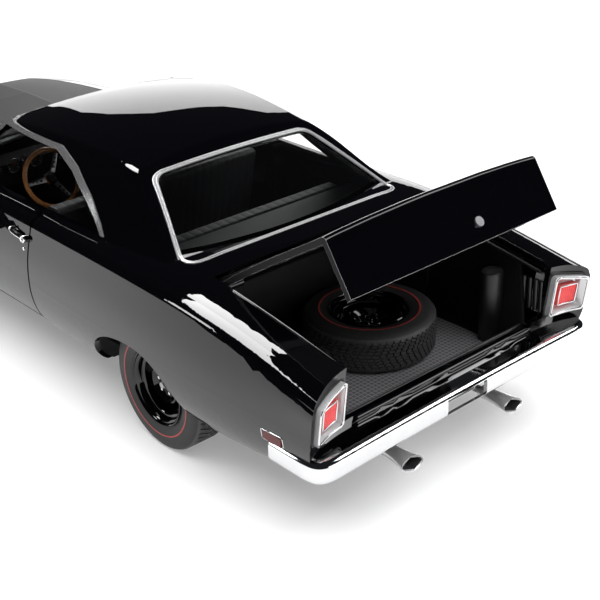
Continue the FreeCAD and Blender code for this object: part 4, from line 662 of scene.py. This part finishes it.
BODY_SKIN = surface_of("roof_shell", "cowl_and_rear_deck", "nose_panel", "front_fenders", "rear_quarters",
                       "rocker_sills", "windshield_trim", "rear_window_trim", "door_left", "door_right", "hood")
CABIN_SKIN = surface_of("roof_shell", "rear_window_trim", "windshield_trim", "windshield_glass",
                        "rear_window_glass", "cowl_and_rear_deck")


def seated(tree, start, way, lift=0.0):
    """Where a ray meets the skin, lifted off it along the surface's own direction."""
    way = Vector(way).normalized()
    place, normal, _, _ = tree.ray_cast(Vector(start), way)
    if place is None:
        return None
    if normal.dot(way) > 0:
        normal = -normal
    return place + lift * normal


def tube(name, points, radius, finish, body="car_body", closed=False, order=2):
    """A round rod along the points that met the skin, where it is sunk to half its height."""
    points = [point for point in points if point is not None]
    curve = bpy.data.curves.new(name, "CURVE")
    curve.dimensions = "3D"
    curve.bevel_depth, curve.bevel_resolution, curve.resolution_u = radius * MM, 3, 6
    curve.use_fill_caps = True
    spline = curve.splines.new("NURBS" if order > 2 else "POLY")
    spline.points.add(len(points) - 1)
    for point, place in zip(spline.points, points):
        point.co = (*(MM * Vector(place)), 1.0)
    spline.use_cyclic_u = closed
    if order > 2:
        spline.order_u, spline.use_endpoint_u = order, not closed
    curve.materials.append(finish.material)
    made = linked(name, curve)
    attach(made, body)
    return made


def rounded_outline(corners, radius, steps):
    """A closed outline in the plane whose corners are arcs."""
    outline = []
    for i, corner in enumerate(corners):
        here = Vector(corner)
        before = (Vector(corners[i - 1]) - here).normalized()
        after = (Vector(corners[(i + 1) % len(corners)]) - here).normalized()
        reach = radius / math.tan(before.angle(after) / 2)
        first, last = here + before * reach, here + after * reach
        for k in range(steps + 1):
            t = k / steps
            outline.append(first.lerp(here, t).lerp(here.lerp(last, t), t))
    return outline


def filled(outline, longest):
    """Adds points along the long runs of a closed outline, so that it can follow a curved skin."""
    dense = []
    for i, here in enumerate(outline):
        after = outline[(i + 1) % len(outline)]
        count = max(1, math.ceil((after - here).length / longest))
        dense += [here.lerp(after, k / count) for k in range(count)]
    return dense


# Window mouldings: two bright beads along each moulding's outer and inner edge

REAR_WINDOW = ((-80.5, 54.3), (-50.5, 70.0))
WINDSHIELD = ((47.0, 54.3), (21.5, 70.0))
WINDOW_ROUND, BEAD_STEP = 3.6, 3.0


def on_window(window, across, up, lift):
    """A place on an end window, so far across and so far up its slope from the base."""
    (base_x, base_z), (top_x, top_z) = window
    slope = Vector((top_x - base_x, 0, top_z - base_z)).normalized()
    outward = Vector((math.copysign(slope.z, -slope.x), 0, abs(slope.x)))
    start = Vector((base_x, across, base_z)) + up * slope + STANDOFF * outward
    return seated(CABIN_SKIN, start, -outward, lift)


def window_beads(name, window, low, high, beads):
    """Beads around an end window, from its half widths and levels; each has an offset and a radius."""
    length = math.dist(*window)
    (low_half, low_level), (high_half, high_level) = low, high
    for index, (offset, radius) in enumerate(beads):
        bottom, top = low_level * length - offset, high_level * length + offset
        corners = [(low_half + offset, bottom), (high_half + offset, top), (-high_half - offset, top),
                   (-low_half - offset, bottom)]
        outline = filled(rounded_outline(corners, WINDOW_ROUND + offset, 5), BEAD_STEP)
        places = [on_window(window, across, along, 0.0) for across, along in outline]
        tube("%s_%d" % (name, index), places, radius, SATIN, closed=True)


window_beads("rear_window_bead", REAR_WINDOW, (38.7, 0.03), (27.4, 0.95), ((0.28, 0.24), (1.02, 0.26)))
window_beads("windshield_bead", WINDSHIELD, (40.4, 0.05), (32.1, 0.93), ((0.28, 0.22), (1.02, 0.24)))


# Side marker frames, lamp rims and lens frames

REAR_MARKER_X, FRONT_MARKER_X, MARKER_Z, MARKER_HALF, MARKER_HALF_HEIGHT = -125.7, 120.0, 29.2, 3.55, 1.4


def marker_frame(name, x, side):
    corners = [(x + a * MARKER_HALF, MARKER_Z + b * MARKER_HALF_HEIGHT)
               for a, b in ((-1, -1), (1, -1), (1, 1), (-1, 1))]
    places = [seated(BODY_SKIN, (a, side * BESIDE, b), (0, -side, 0), 0.02)
              for a, b in rounded_outline(corners, 0.5, 3)]
    tube(name, places, 0.15, CHROME, closed=True)


for side, hand in SIDES:
    marker_frame("marker_frame_rear_" + hand, REAR_MARKER_X, side)
    marker_frame("marker_frame_front_" + hand, FRONT_MARKER_X, side)

LENS_LIFT, LENS_WIDEN, LENS_Y, LAMP_FRONT_X = 1.5, 0.15, 44.2, -130.0
lenses = merged_copy("tail_lamp_lenses")
middle = sum(vert.co.x for vert in lenses.verts) / len(lenses.verts)
for vert in lenses.verts:
    if vert.co.x < middle:
        vert.co.x -= LENS_LIFT
        vert.co.y += math.copysign(LENS_WIDEN, vert.co.y - math.copysign(LENS_Y, vert.co.y))
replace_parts(piece("tail_lamp_lenses_dressed", lenses, (RED_LENS,), closed=False),
            "tail_lamp_lenses")

# Each frame's skin, the left lamp's corners, and its rounding, step, lift, radius and finish
LAMP_FRAMES = {
    "lamp_rim_": (surface_of("tail_lamp_bezels"), [(39.0, 31.9), (49.4, 31.9), (49.4, 41.1), (39.0, 43.7)],
                  1.3, 2.0, 0.0, 0.3, CHROME),
    "lens_frame_": (surface_of("tail_lamp_lenses", forward=-LENS_LIFT),
                    [(41.3, 34.3), (47.1, 34.3), (47.1, 40.0), (41.3, 40.0)], 0.8, 1.5, 0.05, 0.22, CHROME),
    "lamp_seal_": (surface_of("rear_quarters", "tail_lamp_bezels"),
                   [(38.2, 31.1), (50.2, 31.1), (50.2, 41.9), (38.2, 44.6)], 1.6, 2.0, -0.1, 0.3, SEAL),
}
for side, hand in SIDES:
    for name, (skin, corners, rounding, step, lift, radius, finish) in LAMP_FRAMES.items():
        outline = filled(rounded_outline(corners, rounding, 4), step)
        places = [seated(skin, (BEHIND, side * y, z), (1, 0, 0), lift) for y, z in outline]
        places = [place for place in places if place and place.x < LAMP_FRONT_X]
        tube(name + hand, places, radius, finish, closed=True)


# Trunk: posts, ribs beside the lamps, gutters, seal and the blank plate

POST_X, POST_Y, POST_RADIUS, POST_TOP, POST_FLATTENED = -120.5, 33.0, 3.5, 42.5, 0.8
RIB_PLACES, RIB_Y, RIB_RADIUS, RIB_LOW, RIB_HIGH = (-127.6, -129.6, -131.6, -133.4), 38.2, 0.75, 32.7, 41.7
GUTTER_PLACES, GUTTER_Y, GUTTER_LOW = (-97, -104, -112, -120, -128, -133.5), 38.15, 38.0
LEDGE_X, LEDGE_Z, LEDGE_PLACES = -130.9, 29.7, (-33.0, -16.0, 0.0, 16.0, 33.0)
PLATE_X, PLATE_THICK, PLATE_HALF, PLATE_LOW, PLATE_HIGH, PLATE_BORDER = -137.2, 0.5, 7.1, 22.95, 26.65, 0.1

for side, hand in SIDES:
    post = bmesh.new()
    disc_block(post, POST_RADIUS, TRUNK_FLOOR + MAT_SUNK, POST_TOP, 0.5, 32)
    put(post, Matrix.Translation((POST_X, side * POST_Y, 0)) @ rotation(90, "X")
        @ Matrix.Scale(POST_FLATTENED, 4, (1, 0, 0)))
    piece("trunk_post_" + hand, post, (SHELF,))
    ribs = bmesh.new()
    for x in RIB_PLACES:
        shift(ribs, cone(ribs, RIB_RADIUS, RIB_RADIUS, RIB_LOW, RIB_HIGH, 20), (x, side * RIB_Y, 0))
    piece("lamp_housing_ribs_" + hand, ribs, (TRUNK_BLACK,))
    gutter = [seated(BODY_SKIN, (x, side * GUTTER_Y, ABOVE), (0, 0, -1), -0.1) for x in GUTTER_PLACES]
    gutter = [place for place in gutter if place and place.z > GUTTER_LOW]
    tube("trunk_gutter_" + hand, gutter, 0.42, PAINT)
    tube("trunk_seal_" + hand, [place + Vector((0, -side * 1.3, -2.2)) for place in gutter], 0.5, TRUNK_BLACK)

tube("trunk_ledge_bead", [(LEDGE_X, y, LEDGE_Z) for y in LEDGE_PLACES], 0.35, TRUNK_BLACK)

plate = bmesh.new()
slab(plate, (PLATE_X, -PLATE_HALF, PLATE_LOW), (PLATE_X + PLATE_THICK, PLATE_HALF, PLATE_HIGH), 0.12)
piece("blank_number_plate", plate, (PLATE,))
frame_half, frame_low, frame_high = PLATE_HALF - PLATE_BORDER, PLATE_LOW + PLATE_BORDER, PLATE_HIGH - PLATE_BORDER
plate_frame = [(-frame_half, frame_low), (frame_half, frame_low), (frame_half, frame_high),
               (-frame_half, frame_high)]
tube("plate_frame", [(PLATE_X - 0.05, y, z) for y, z in plate_frame], 0.16, SATIN, closed=True)


# Steering wheel: varnished rim, three bright spokes whose drilled holes are black discs as painted shade, hub and
# horn cap

WHEEL_PLACE, WHEEL_LEAN, WHEEL_RADIUS, GRIP_RADIUS, GRIP_FLATTENED = (22.0, 18.4, 46.4), -65, 9.4, 0.82, 0.85
SPOKE_START, SPOKE_END, SPOKE_HALF, SPOKE_LOW, SPOKE_HIGH, SPOKE_RISE = 2.0, 8.9, 0.85, -0.55, -0.2, 0.055
SPOKE_HOLES = ((3.9, 0.42), (5.5, 0.36), (7.0, 0.3))
# Low radius, high radius, low end, high end and finish
HUB_BLOCKS = ((1.9, 2.3, -3.0, -0.5, 1), (2.3, 1.9, -0.5, 0.1, 2), (1.5, 1.1, 0.1, 0.6, 3),
              (0.7, 0.7, -9.4, -3.0, 3))


def steering_wheel():
    bm = bmesh.new()
    ring = bmesh.ops.create_circle(bm, radius=GRIP_RADIUS, segments=14)["verts"]
    turn(bm, ring, 90, "X")
    bmesh.ops.scale(bm, verts=ring, vec=(1, 1, GRIP_FLATTENED))
    shift(bm, ring, (WHEEL_RADIUS, 0, 0))
    bmesh.ops.spin(bm, geom=ring + list(bm.edges), cent=(0, 0, 0), axis=(0, 0, 1), angle=2 * math.pi, steps=72,
                   use_merge=True)
    for way in (90, 210, 330):
        spoke = slab(bm, (SPOKE_START, -SPOKE_HALF, SPOKE_LOW), (SPOKE_END, SPOKE_HALF, SPOKE_HIGH), 0.12,
                     material=1)
        for vert in spoke:
            vert.co.y *= 1.25 - 0.06 * vert.co.x
            vert.co.z += SPOKE_RISE * (vert.co.x - SPOKE_START)
        turn(bm, spoke, way, "Z")
        # Each hole is a black disc through the spoke, painted shade for the gap seen through it.
        for distance, radius in SPOKE_HOLES:
            level = -0.36 + SPOKE_RISE * (distance - SPOKE_START)
            hole = cone(bm, radius, radius, level - 0.25, level + 0.25, 16, 3)
            shift(bm, hole, (distance, 0, 0))
            turn(bm, hole, way, "Z")
    for low_radius, high_radius, low, high, finish in HUB_BLOCKS:
        cone(bm, low_radius, high_radius, low, high, 32, finish)
    put(bm, Matrix.Translation(WHEEL_PLACE) @ rotation(WHEEL_LEAN, "Y"))
    return bm


wheel = piece("steering_wheel_dressed", steering_wheel(), (WOOD, STEEL, CHROME, PLASTIC),
              "steering_wheel")
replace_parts(wheel, "steering_wheel")


# Exhaust tips: flared flat ovals, cut on the slant, with an open bore whose inner wall and closed end are black
# plastic as painted shade

TIP_Y, TIP_Z, TIP_MOUTH_X, TIP_BORE_RADIUS = 19.4, 13.9, -139.6, 1.35
# Place along the car, half width, half height and slant of each ring, from the pipe to the bore's end
TIP_RINGS = ((-130.0, 2.1, 1.8, 0.0), (-132.8, 2.15, 1.8, 0.0), (-135.5, 2.5, 1.7, 0.2), (-138.2, 3.2, 1.55, 0.5),
             (-140.4, 3.7, 1.5, 0.9), (-140.5, 3.6, 1.4, 0.9), (-140.3, 3.4, 1.2, 0.9), (-138.0, 2.9, 1.2, 0.5),
             (-135.5, 2.1, 1.2, 0.2), (-133.0, 1.3, 1.2, 0.0))


def exhaust_tips():
    bm = bmesh.new()
    for side, _ in SIDES:
        ring = bmesh.ops.create_circle(bm, radius=1.0, segments=36)["verts"]
        turn(bm, ring, 90, "Y")
        middle_y = middle_z = 0.0
        edges = list({edge for vert in ring for edge in vert.link_edges})
        for index, (x, half, tall, slant) in enumerate(TIP_RINGS):
            if index:
                grown = bmesh.ops.extrude_edge_only(bm, edges=edges)["geom"]
                ring = [item for item in grown if isinstance(item, bmesh.types.BMVert)]
                edges = [item for item in grown if isinstance(item, bmesh.types.BMEdge)]
            for vert in ring:
                angle = math.atan2(vert.co.z - middle_z, vert.co.y - middle_y)
                vert.co = (x + slant * math.sin(angle), side * TIP_Y + half * math.cos(angle),
                           TIP_Z + tall * math.sin(angle))
            middle_y, middle_z = side * TIP_Y, TIP_Z
        bmesh.ops.contextual_create(bm, geom=edges)
    # The bore's inner wall and the cap that closes it take black plastic: painted shade inside the pipe.
    for face in bm.faces:
        nearest = min(math.hypot(abs(vert.co.y) - TIP_Y, vert.co.z - TIP_Z) for vert in face.verts)
        if face.calc_center_median().x > TIP_MOUTH_X and nearest < TIP_BORE_RADIUS:
            face.material_index = 1
    return bm


tips = piece("exhaust_tips_dressed", exhaust_tips(), (TIP_CHROME, PLASTIC), closed=False)
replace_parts(tips, "exhaust_tips")


# Door furniture: strap handle with its push knob, key lock, belt bead, armrest, winder and pull inside

STRAP = ((-7.8, 49.9, 47.1), (-8.3, 51.0, 47.0), (-11.0, 51.45, 46.8), (-14.0, 51.4, 46.5), (-16.0, 51.2, 46.3))
KNOB_PLACE, STRAP_END, LOCK_PLACE = (-16.2, 46.3), (-8.0, 47.1), (-15.4, 43.0)
BELT_Y, BELT_LOW, BELT_HIGH = 45.6, 50.0, 60.0
WINDER_PLACE, WINDER_KNOB = (27.0, 41.0), (27.1, 36.9)


def door_outside(side, hand, door, skin):
    strap = tube("handle_strap_" + hand, [(x, side * y, z) for x, y, z in STRAP], 0.45, CHROME, door, order=3)
    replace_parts(strap, "door_handle_" + hand)
    knob = bmesh.new()
    disc_block(knob, 1.15, 49.9, 51.75, 0.35, 24, KNOB_PLACE)
    disc_block(knob, 0.62, 51.5, 52.1, 0.15, 20, KNOB_PLACE)
    disc_block(knob, 0.7, 49.9, 51.0, 0.2, 20, STRAP_END)
    lock_y = abs(seated(skin, (LOCK_PLACE[0], side * BESIDE, LOCK_PLACE[1]), (0, -side, 0)).y)
    disc_block(knob, 0.55, lock_y - 0.3, lock_y + 0.12, 0.08, 20, LOCK_PLACE)
    put(knob, Matrix.Scale(side, 4, (0, 1, 0)))
    piece("handle_knob_and_lock_" + hand, knob, (CHROME,), door)
    for name, body, places, under in (("door_belt_bead_", door, range(-15, 36, 5), skin),
                                      ("quarter_belt_bead_", "car_body", range(-48, -18, 4), BODY_SKIN)):
        bead = [seated(under, (x, side * BELT_Y, ABOVE), (0, 0, -1), -0.05) for x in places]
        bead = [spot for spot in bead if spot and BELT_LOW < spot.z < BELT_HIGH]
        tube(name + hand, bead, 0.22, CHROME, body)


def door_inside(side, hand, door, skin):
    y = abs(seated(skin, (14.0, side * 30, 39.0), (0, side, 0)).y)
    furniture = bmesh.new()
    slab(furniture, (0.0, y - 2.0, 37.6), (20.0, y + 0.3, 39.8), 0.7, 3)
    slab(furniture, (16.0, y - 2.4, 39.6), (19.0, y - 1.6, 40.3), 0.2)
    disc_block(furniture, 1.1, y - 0.7, y + 0.3, 0.2, 24, WINDER_PLACE, 1)
    slab(furniture, (26.7, y - 1.1, 36.4), (27.5, y - 0.6, 41.2), 0.15, material=1)
    disc_block(furniture, 0.6, y - 2.2, y - 0.8, 0.2, 16, WINDER_KNOB, 1)
    slab(furniture, (24.0, y - 1.0, 46.4), (29.0, y - 0.5, 47.3), 0.2, material=1)
    put(furniture, Matrix.Scale(side, 4, (0, 1, 0)))
    piece("door_furniture_" + hand, furniture, (VINYL, CHROME), door)


for side, hand in SIDES:
    door_skin = surface_of("door_" + hand)
    door_outside(side, hand, "door_" + hand, door_skin)
    door_inside(side, hand, "door_" + hand, door_skin)


# Door mirror's glass and parking lamps under the front bumper

MIRROR_PLACE, PARKING_Y, PARKING_Z = (35.78, 50.2, 56.19), 34.0, 21.6
glass = bmesh.new()
turned(glass, [(2.3, -0.1), (2.85, -0.1), (2.85, 0.25), (2.6, 0.4), (2.3, 0.2)], 40)
disc_block(glass, 2.4, -0.1, 0.12, 0, 40)
put(glass, Matrix.Translation(MIRROR_PLACE) @ rotation(90, "Z"))
piece("mirror_glass_left", glass, (CHROME,), "door_left")

VALANCE = surface_of("nose_panel", "front_bumper")
for side, hand in SIDES:
    x = seated(VALANCE, (AHEAD, side * PARKING_Y, PARKING_Z), (-1, 0, 0)).x
    y, z = side * PARKING_Y, PARKING_Z
    parking = bmesh.new()
    slab(parking, (x - 0.8, y - 3.6, z - 1.3), (x + 0.25, y + 3.6, z + 1.3), 0.25)
    slab(parking, (x - 0.5, y - 3.1, z - 0.9), (x + 0.5, y + 3.1, z + 0.9), 0.35, 3)
    for face in parking.faces:
        if face.calc_center_median().x > x + 0.26:
            face.material_index = 1
    piece("parking_lamp_" + hand, parking, (CHROME, LAMP_GLASS))


# Cabin: gauges, radio, rear-view mirror, sun visors, gear lever and wipers

DASH = surface_of("dashboard")
BEFORE_DASH = 20.0
DIALS = ((22.6, 47.6, 2.5), (14.2, 47.6, 2.5), (18.4, 49.2, 1.15), (18.4, 46.2, 1.15), (28.2, 47.6, 1.5))
DIAL_MARKS, FIRST_MARK, MARK_STEP, NEEDLE_ANGLE = 9, -120, 30, -60


def dial(bm, y, z, radius):
    """A gauge on the dashboard with its bright bezel, marks and needle."""
    before = set(bm.verts)
    turned(bm, [(radius - 0.4, -0.2), (radius, -0.2), (radius, 0.3), (radius - 0.12, 0.42), (radius - 0.3, 0.3),
                (radius - 0.36, 0.08)], 32, 1)
    disc_block(bm, radius - 0.34, -0.2, 0.06, 0, 32)
    for mark in range(DIAL_MARKS):
        tick = slab(bm, (-0.05, 0.02, 0.62 * radius), (0.05, 0.1, 0.8 * radius), material=2)
        turn(bm, tick, FIRST_MARK + MARK_STEP * mark, "Y")
    turn(bm, slab(bm, (-0.08, 0.1, -0.15 * radius), (0.08, 0.18, 0.6 * radius), material=3), NEEDLE_ANGLE, "Y")
    place = Matrix.Translation(seated(DASH, (BEFORE_DASH, y, z), (1, 0, 0)))
    put(bm, place @ rotation(90, "Z"), added(bm, before))


gauges = bmesh.new()
for y, z, radius in DIALS:
    dial(gauges, y, z, radius)
piece("dash_gauges", gauges, (PLASTIC, CHROME, MARKINGS, RED_BAND))

RADIO_Z, RADIO_KNOBS = 46.0, (-5.0, 5.0, -23.0)
face_x = seated(DASH, (BEFORE_DASH, 0, RADIO_Z), (1, 0, 0)).x
fittings = bmesh.new()
slab(fittings, (face_x - 0.35, -6.2, RADIO_Z - 1.6), (face_x + 0.2, 6.2, RADIO_Z + 1.6), 0.15)
slab(fittings, (face_x - 0.30, -33.0, RADIO_Z - 2.4), (face_x + 0.2, -13.0, RADIO_Z + 2.4), 0.15)
for y in RADIO_KNOBS:
    knob = cone(fittings, 0.6, 0.5, -0.5, 0.5, 16, 1)
    turn(fittings, knob, -90, "Y")
    shift(fittings, knob, (face_x - 0.7, y, RADIO_Z))
piece("radio_and_glove_box", fittings, (TRUNK_BLACK, CHROME))

UNDER_ROOF, HEADER_X, MIRROR_X, MIRROR_HALF = 60.0, 20.0, 17.6, 6.2
VISOR_BACK, VISOR_FRONT, VISOR_Y, VISOR_HALF = 10.5, 17.5, 17.0, 12.5
header = seated(CABIN_SKIN, (HEADER_X, 0, UNDER_ROOF), (0, 0, 1)).z
mirror = bmesh.new()
slab(mirror, (MIRROR_X, -MIRROR_HALF, header - 5.4), (MIRROR_X + 1.0, MIRROR_HALF, header - 2.0), 0.4, 3)
slab(mirror, (MIRROR_X - 0.1, 0.4 - MIRROR_HALF, header - 5.0), (MIRROR_X + 0.2, MIRROR_HALF - 0.4, header - 2.4),
     0.1, material=1)
piece("rear_view_mirror", mirror, (PLASTIC, CHROME))
tube("mirror_stem", [(18.3, 0, header - 3.4), (19.4, 0, header - 1.6), (HEADER_X, 0, header + 0.2)], 0.35,
     CHROME, order=3)
visors = bmesh.new()
for side, _ in SIDES:
    roof = seated(CABIN_SKIN, ((VISOR_BACK + VISOR_FRONT) / 2, side * VISOR_Y, UNDER_ROOF), (0, 0, 1)).z
    slab(visors, (VISOR_BACK, side * VISOR_Y - VISOR_HALF, roof - 1.3),
         (VISOR_FRONT, side * VISOR_Y + VISOR_HALF, roof + 0.1), 0.4, 3)
piece("sun_visors", visors, (VINYL,))

LEVER_X, LEVER_TOP, LEVER_LEAN = 31.0, 10.9, -14
tunnel = seated(surface_of("cabin_floor"), (LEVER_X, 0, 50.0), (0, 0, -1))
lever = bmesh.new()
cone(lever, 2.6, 0.9, -0.1, 2.3, 24)
cone(lever, 0.4, 0.32, 1.5, 10.5, 16, 1)
ball = bmesh.ops.create_uvsphere(lever, u_segments=20, v_segments=12, radius=1.15)["verts"]
bmesh.ops.scale(lever, verts=ball, vec=(1, 1, 1.15))
shift(lever, ball, (0, 0, LEVER_TOP))
dress(ball, 2)
put(lever, Matrix.Translation(tunnel) @ rotation(LEVER_LEAN, "Y"))
piece("gear_lever", lever, (VINYL, CHROME, WOOD))

WIPERS = (("left", 4.0, 30.0, 33.0), ("right", -26.0, 0.0, 3.0))
BLADE_POINTS, BLADE_UP, BLADE_RISE = 6, 4.6, 0.5
for name, inner, outer, pivot in WIPERS:
    shares = [k / BLADE_POINTS for k in range(BLADE_POINTS + 1)]
    blade = [on_window(WINDSHIELD, inner + (outer - inner) * share, BLADE_UP + BLADE_RISE * share, 0.45)
             for share in shares]
    tube("wiper_blade_" + name, blade, 0.28, PLASTIC)
    arm = [on_window(WINDSHIELD, across, up, lift) for across, up, lift in
           ((pivot, 0.4, 0.5), (pivot - 4, 2.4, 1.0), (inner + 13.0, 4.9, 0.95))]
    tube("wiper_arm_" + name, arm, 0.26, STEEL, order=3)


# Stage, lights and camera, in metres

WHITE = (1.0, 1.0, 1.0)
WALL_RADIUS, WALL_FOOT, WALL_GLOW = 1.9, 0.05, 1.2
# Compass angle and elevation of the wall's upper edge, whose mirror image is the line across the roof
WALL_TOPS = ((-178, 14), (-150, 15), (-126, 15), (-118, 6), (-70, 7), (-60, 10), (-53, 12), (-51, 14.5),
             (-49.5, 20.5), (-47.5, 21), (-44, 20.3), (-42.5, 20), (-40, 21.2), (-38, 22.6), (-36, 23.2),
             (-34.5, 24), (-33, 23.6), (-31, 22.5), (-28.8, 21), (-27.8, 19), (-26.2, 15.5), (-25.3, 11),
             (-24.5, 0.5))
SURROUND_RADIUS, SURROUND_HEIGHT = 1.7, 5.0
FLAG_PLACE, FLAG_HEIGHT, FLAG_SWEEP = (0.44, -0.06), 0.062, 85


def stage_material(name, grey, glow=0.0):
    finish = Finish(name, Roughness=0.9, Emission_Color=WHITE, Emission_Strength=glow)
    haze = finish.noise(0.004)
    return finish.shade(Base_Color=finish.blend(haze, (0.97 * grey,) * 3, (grey,) * 3)).material


def staged(name, bm, material, unseen_by=()):
    """Puts a mesh on the stage, hidden from some kinds of rays."""
    made = linked(name, bpy.data.meshes.new(name))
    bm.to_mesh(made.data)
    bm.free()
    made.data.materials.append(material)
    for rays in unseen_by:
        setattr(made, "visible_" + rays, False)


def curved_band(place, height, degrees, steps, closed=False):
    """An upright band that runs from a place on the floor round the middle of the stage."""
    bm = bmesh.new()
    low, high = bm.verts.new((*place, 0.0)), bm.verts.new((*place, height))
    bmesh.ops.spin(bm, geom=[low, high, bm.edges.new((low, high))], cent=(0, 0, 0), axis=(0, 0, 1),
                   angle=math.radians(degrees), steps=steps, use_merge=closed)
    return bm


def stage_floor():
    bm = bmesh.new()
    bmesh.ops.create_grid(bm, x_segments=2, y_segments=2, size=4.0)
    staged("floor", bm, stage_material("white_floor", 0.86, 0.25))


def pale_surround():
    """A round pale backdrop that only the camera sees, so that every side shows the car on white."""
    bm = curved_band((SURROUND_RADIUS, 0.0), SURROUND_HEIGHT, 360, 72, closed=True)
    staged("pale_surround", bm, stage_material("pale_backdrop", 0.9, 1.0),
           ("glossy", "diffuse", "shadow", "transmission"))


def far_wall():
    """A bright curved wall far behind the car, which the camera doesn't see and the lacquer mirrors."""
    start, end = math.radians(WALL_TOPS[0][0]), WALL_TOPS[-1][0]
    place = (WALL_RADIUS * math.cos(start), WALL_RADIUS * math.sin(start))
    bm = curved_band(place, 1.0, end - WALL_TOPS[0][0], 60)
    for vert in bm.verts:
        if vert.co.z > 0.5:
            angle = math.degrees(math.atan2(vert.co.y, vert.co.x))
            for (a, rise_a), (b, rise_b) in zip(WALL_TOPS, WALL_TOPS[1:]):
                if a - 0.01 <= angle <= b + 0.01:
                    rise = rise_a + (rise_b - rise_a) * (angle - a) / (b - a)
                    vert.co.z = WALL_FOOT + WALL_RADIUS * math.tan(math.radians(rise))
    finish = Finish("far_wall", Base_Color=(0.9, 0.9, 0.9), Roughness=0.9, Emission_Color=WHITE,
                    Emission_Strength=WALL_GLOW)
    staged("far_wall", bm, finish.material, ("camera",))


def black_flag():
    """A low black board that only mirrors show: it darkens the far floor that the flanks would mirror."""
    bm = curved_band(FLAG_PLACE, FLAG_HEIGHT, FLAG_SWEEP, 24)
    staged("black_flag", bm, stage_material("flag_cloth", 0.002), ("camera", "diffuse", "shadow", "transmission"))


def lamp(name, place, aim, size, power, seen=True, lights=True):
    """A soft lamp; one may only light the scene, unseen in what shines, and another only be seen there."""
    light = bpy.data.lights.new(name, "AREA")
    light.shape = "RECTANGLE"
    light.size, light.size_y = size
    light.energy = power
    made = linked(name, light)
    made.location = place
    made.rotation_euler = (Vector(aim) - Vector(place)).to_track_quat("-Z", "Y").to_euler()
    made.visible_camera = made.visible_transmission = False
    made.visible_glossy, made.visible_diffuse = seen, lights


stage_floor()
pale_surround()
far_wall()
black_flag()
lamp("overhead_fill", (0.0, 0.0, 1.5), (0.0, 0.0, 0.0), (2.6, 2.6), 62.0, seen=False)
lamp("rear_fill", (-1.1, -0.1, 0.85), (-0.1, 0.0, 0.03), (1.5, 0.9), 9.0, seen=False)
lamp("high_softbox", (0.547, 0.05, 1.069), (0.0, 0.0, 0.04), (0.845, 0.327), 14.0, lights=False)
lamp("upper_rear_panel", (-0.56, -0.76, 0.84), (-0.13, 0.0, 0.03), (0.70, 0.30), 3.0, lights=False)
lamp("side_strip", (0.693, 0.920, 0.295), (0.0, 0.0, 0.04), (0.147, 0.311), 1.8, lights=False)

WORLD_COLOR, WORLD_STRENGTH = (0.55, 0.58, 0.65, 1.0), 0.03
world = bpy.data.worlds.new("dark_studio")
world.use_nodes = True
world.node_tree.nodes["Background"].inputs["Color"].default_value = WORLD_COLOR
world.node_tree.nodes["Background"].inputs["Strength"].default_value = WORLD_STRENGTH
bpy.context.scene.world = world
bpy.context.scene.view_settings.view_transform = "Standard"

CAMERA_PLACE, CAMERA_TARGET, CAMERA_ROLL = (-0.3042, 0.1984, 0.1789), (-0.093, 0.013, 0.040), -1.8
SENSOR_WIDTH, FOCAL_LENGTH = 36.0, 70.57
camera = linked("camera", bpy.data.cameras.new("camera"))
camera.data.sensor_width, camera.data.lens = SENSOR_WIDTH, FOCAL_LENGTH
camera.data.clip_start, camera.data.clip_end = 0.01, 50.0
aim = (Vector(CAMERA_TARGET) - Vector(CAMERA_PLACE)).to_track_quat("-Z", "Y").to_matrix().to_4x4()
camera.matrix_world = Matrix.Translation(CAMERA_PLACE) @ aim @ rotation(CAMERA_ROLL, "Z")
bpy.context.scene.camera = camera
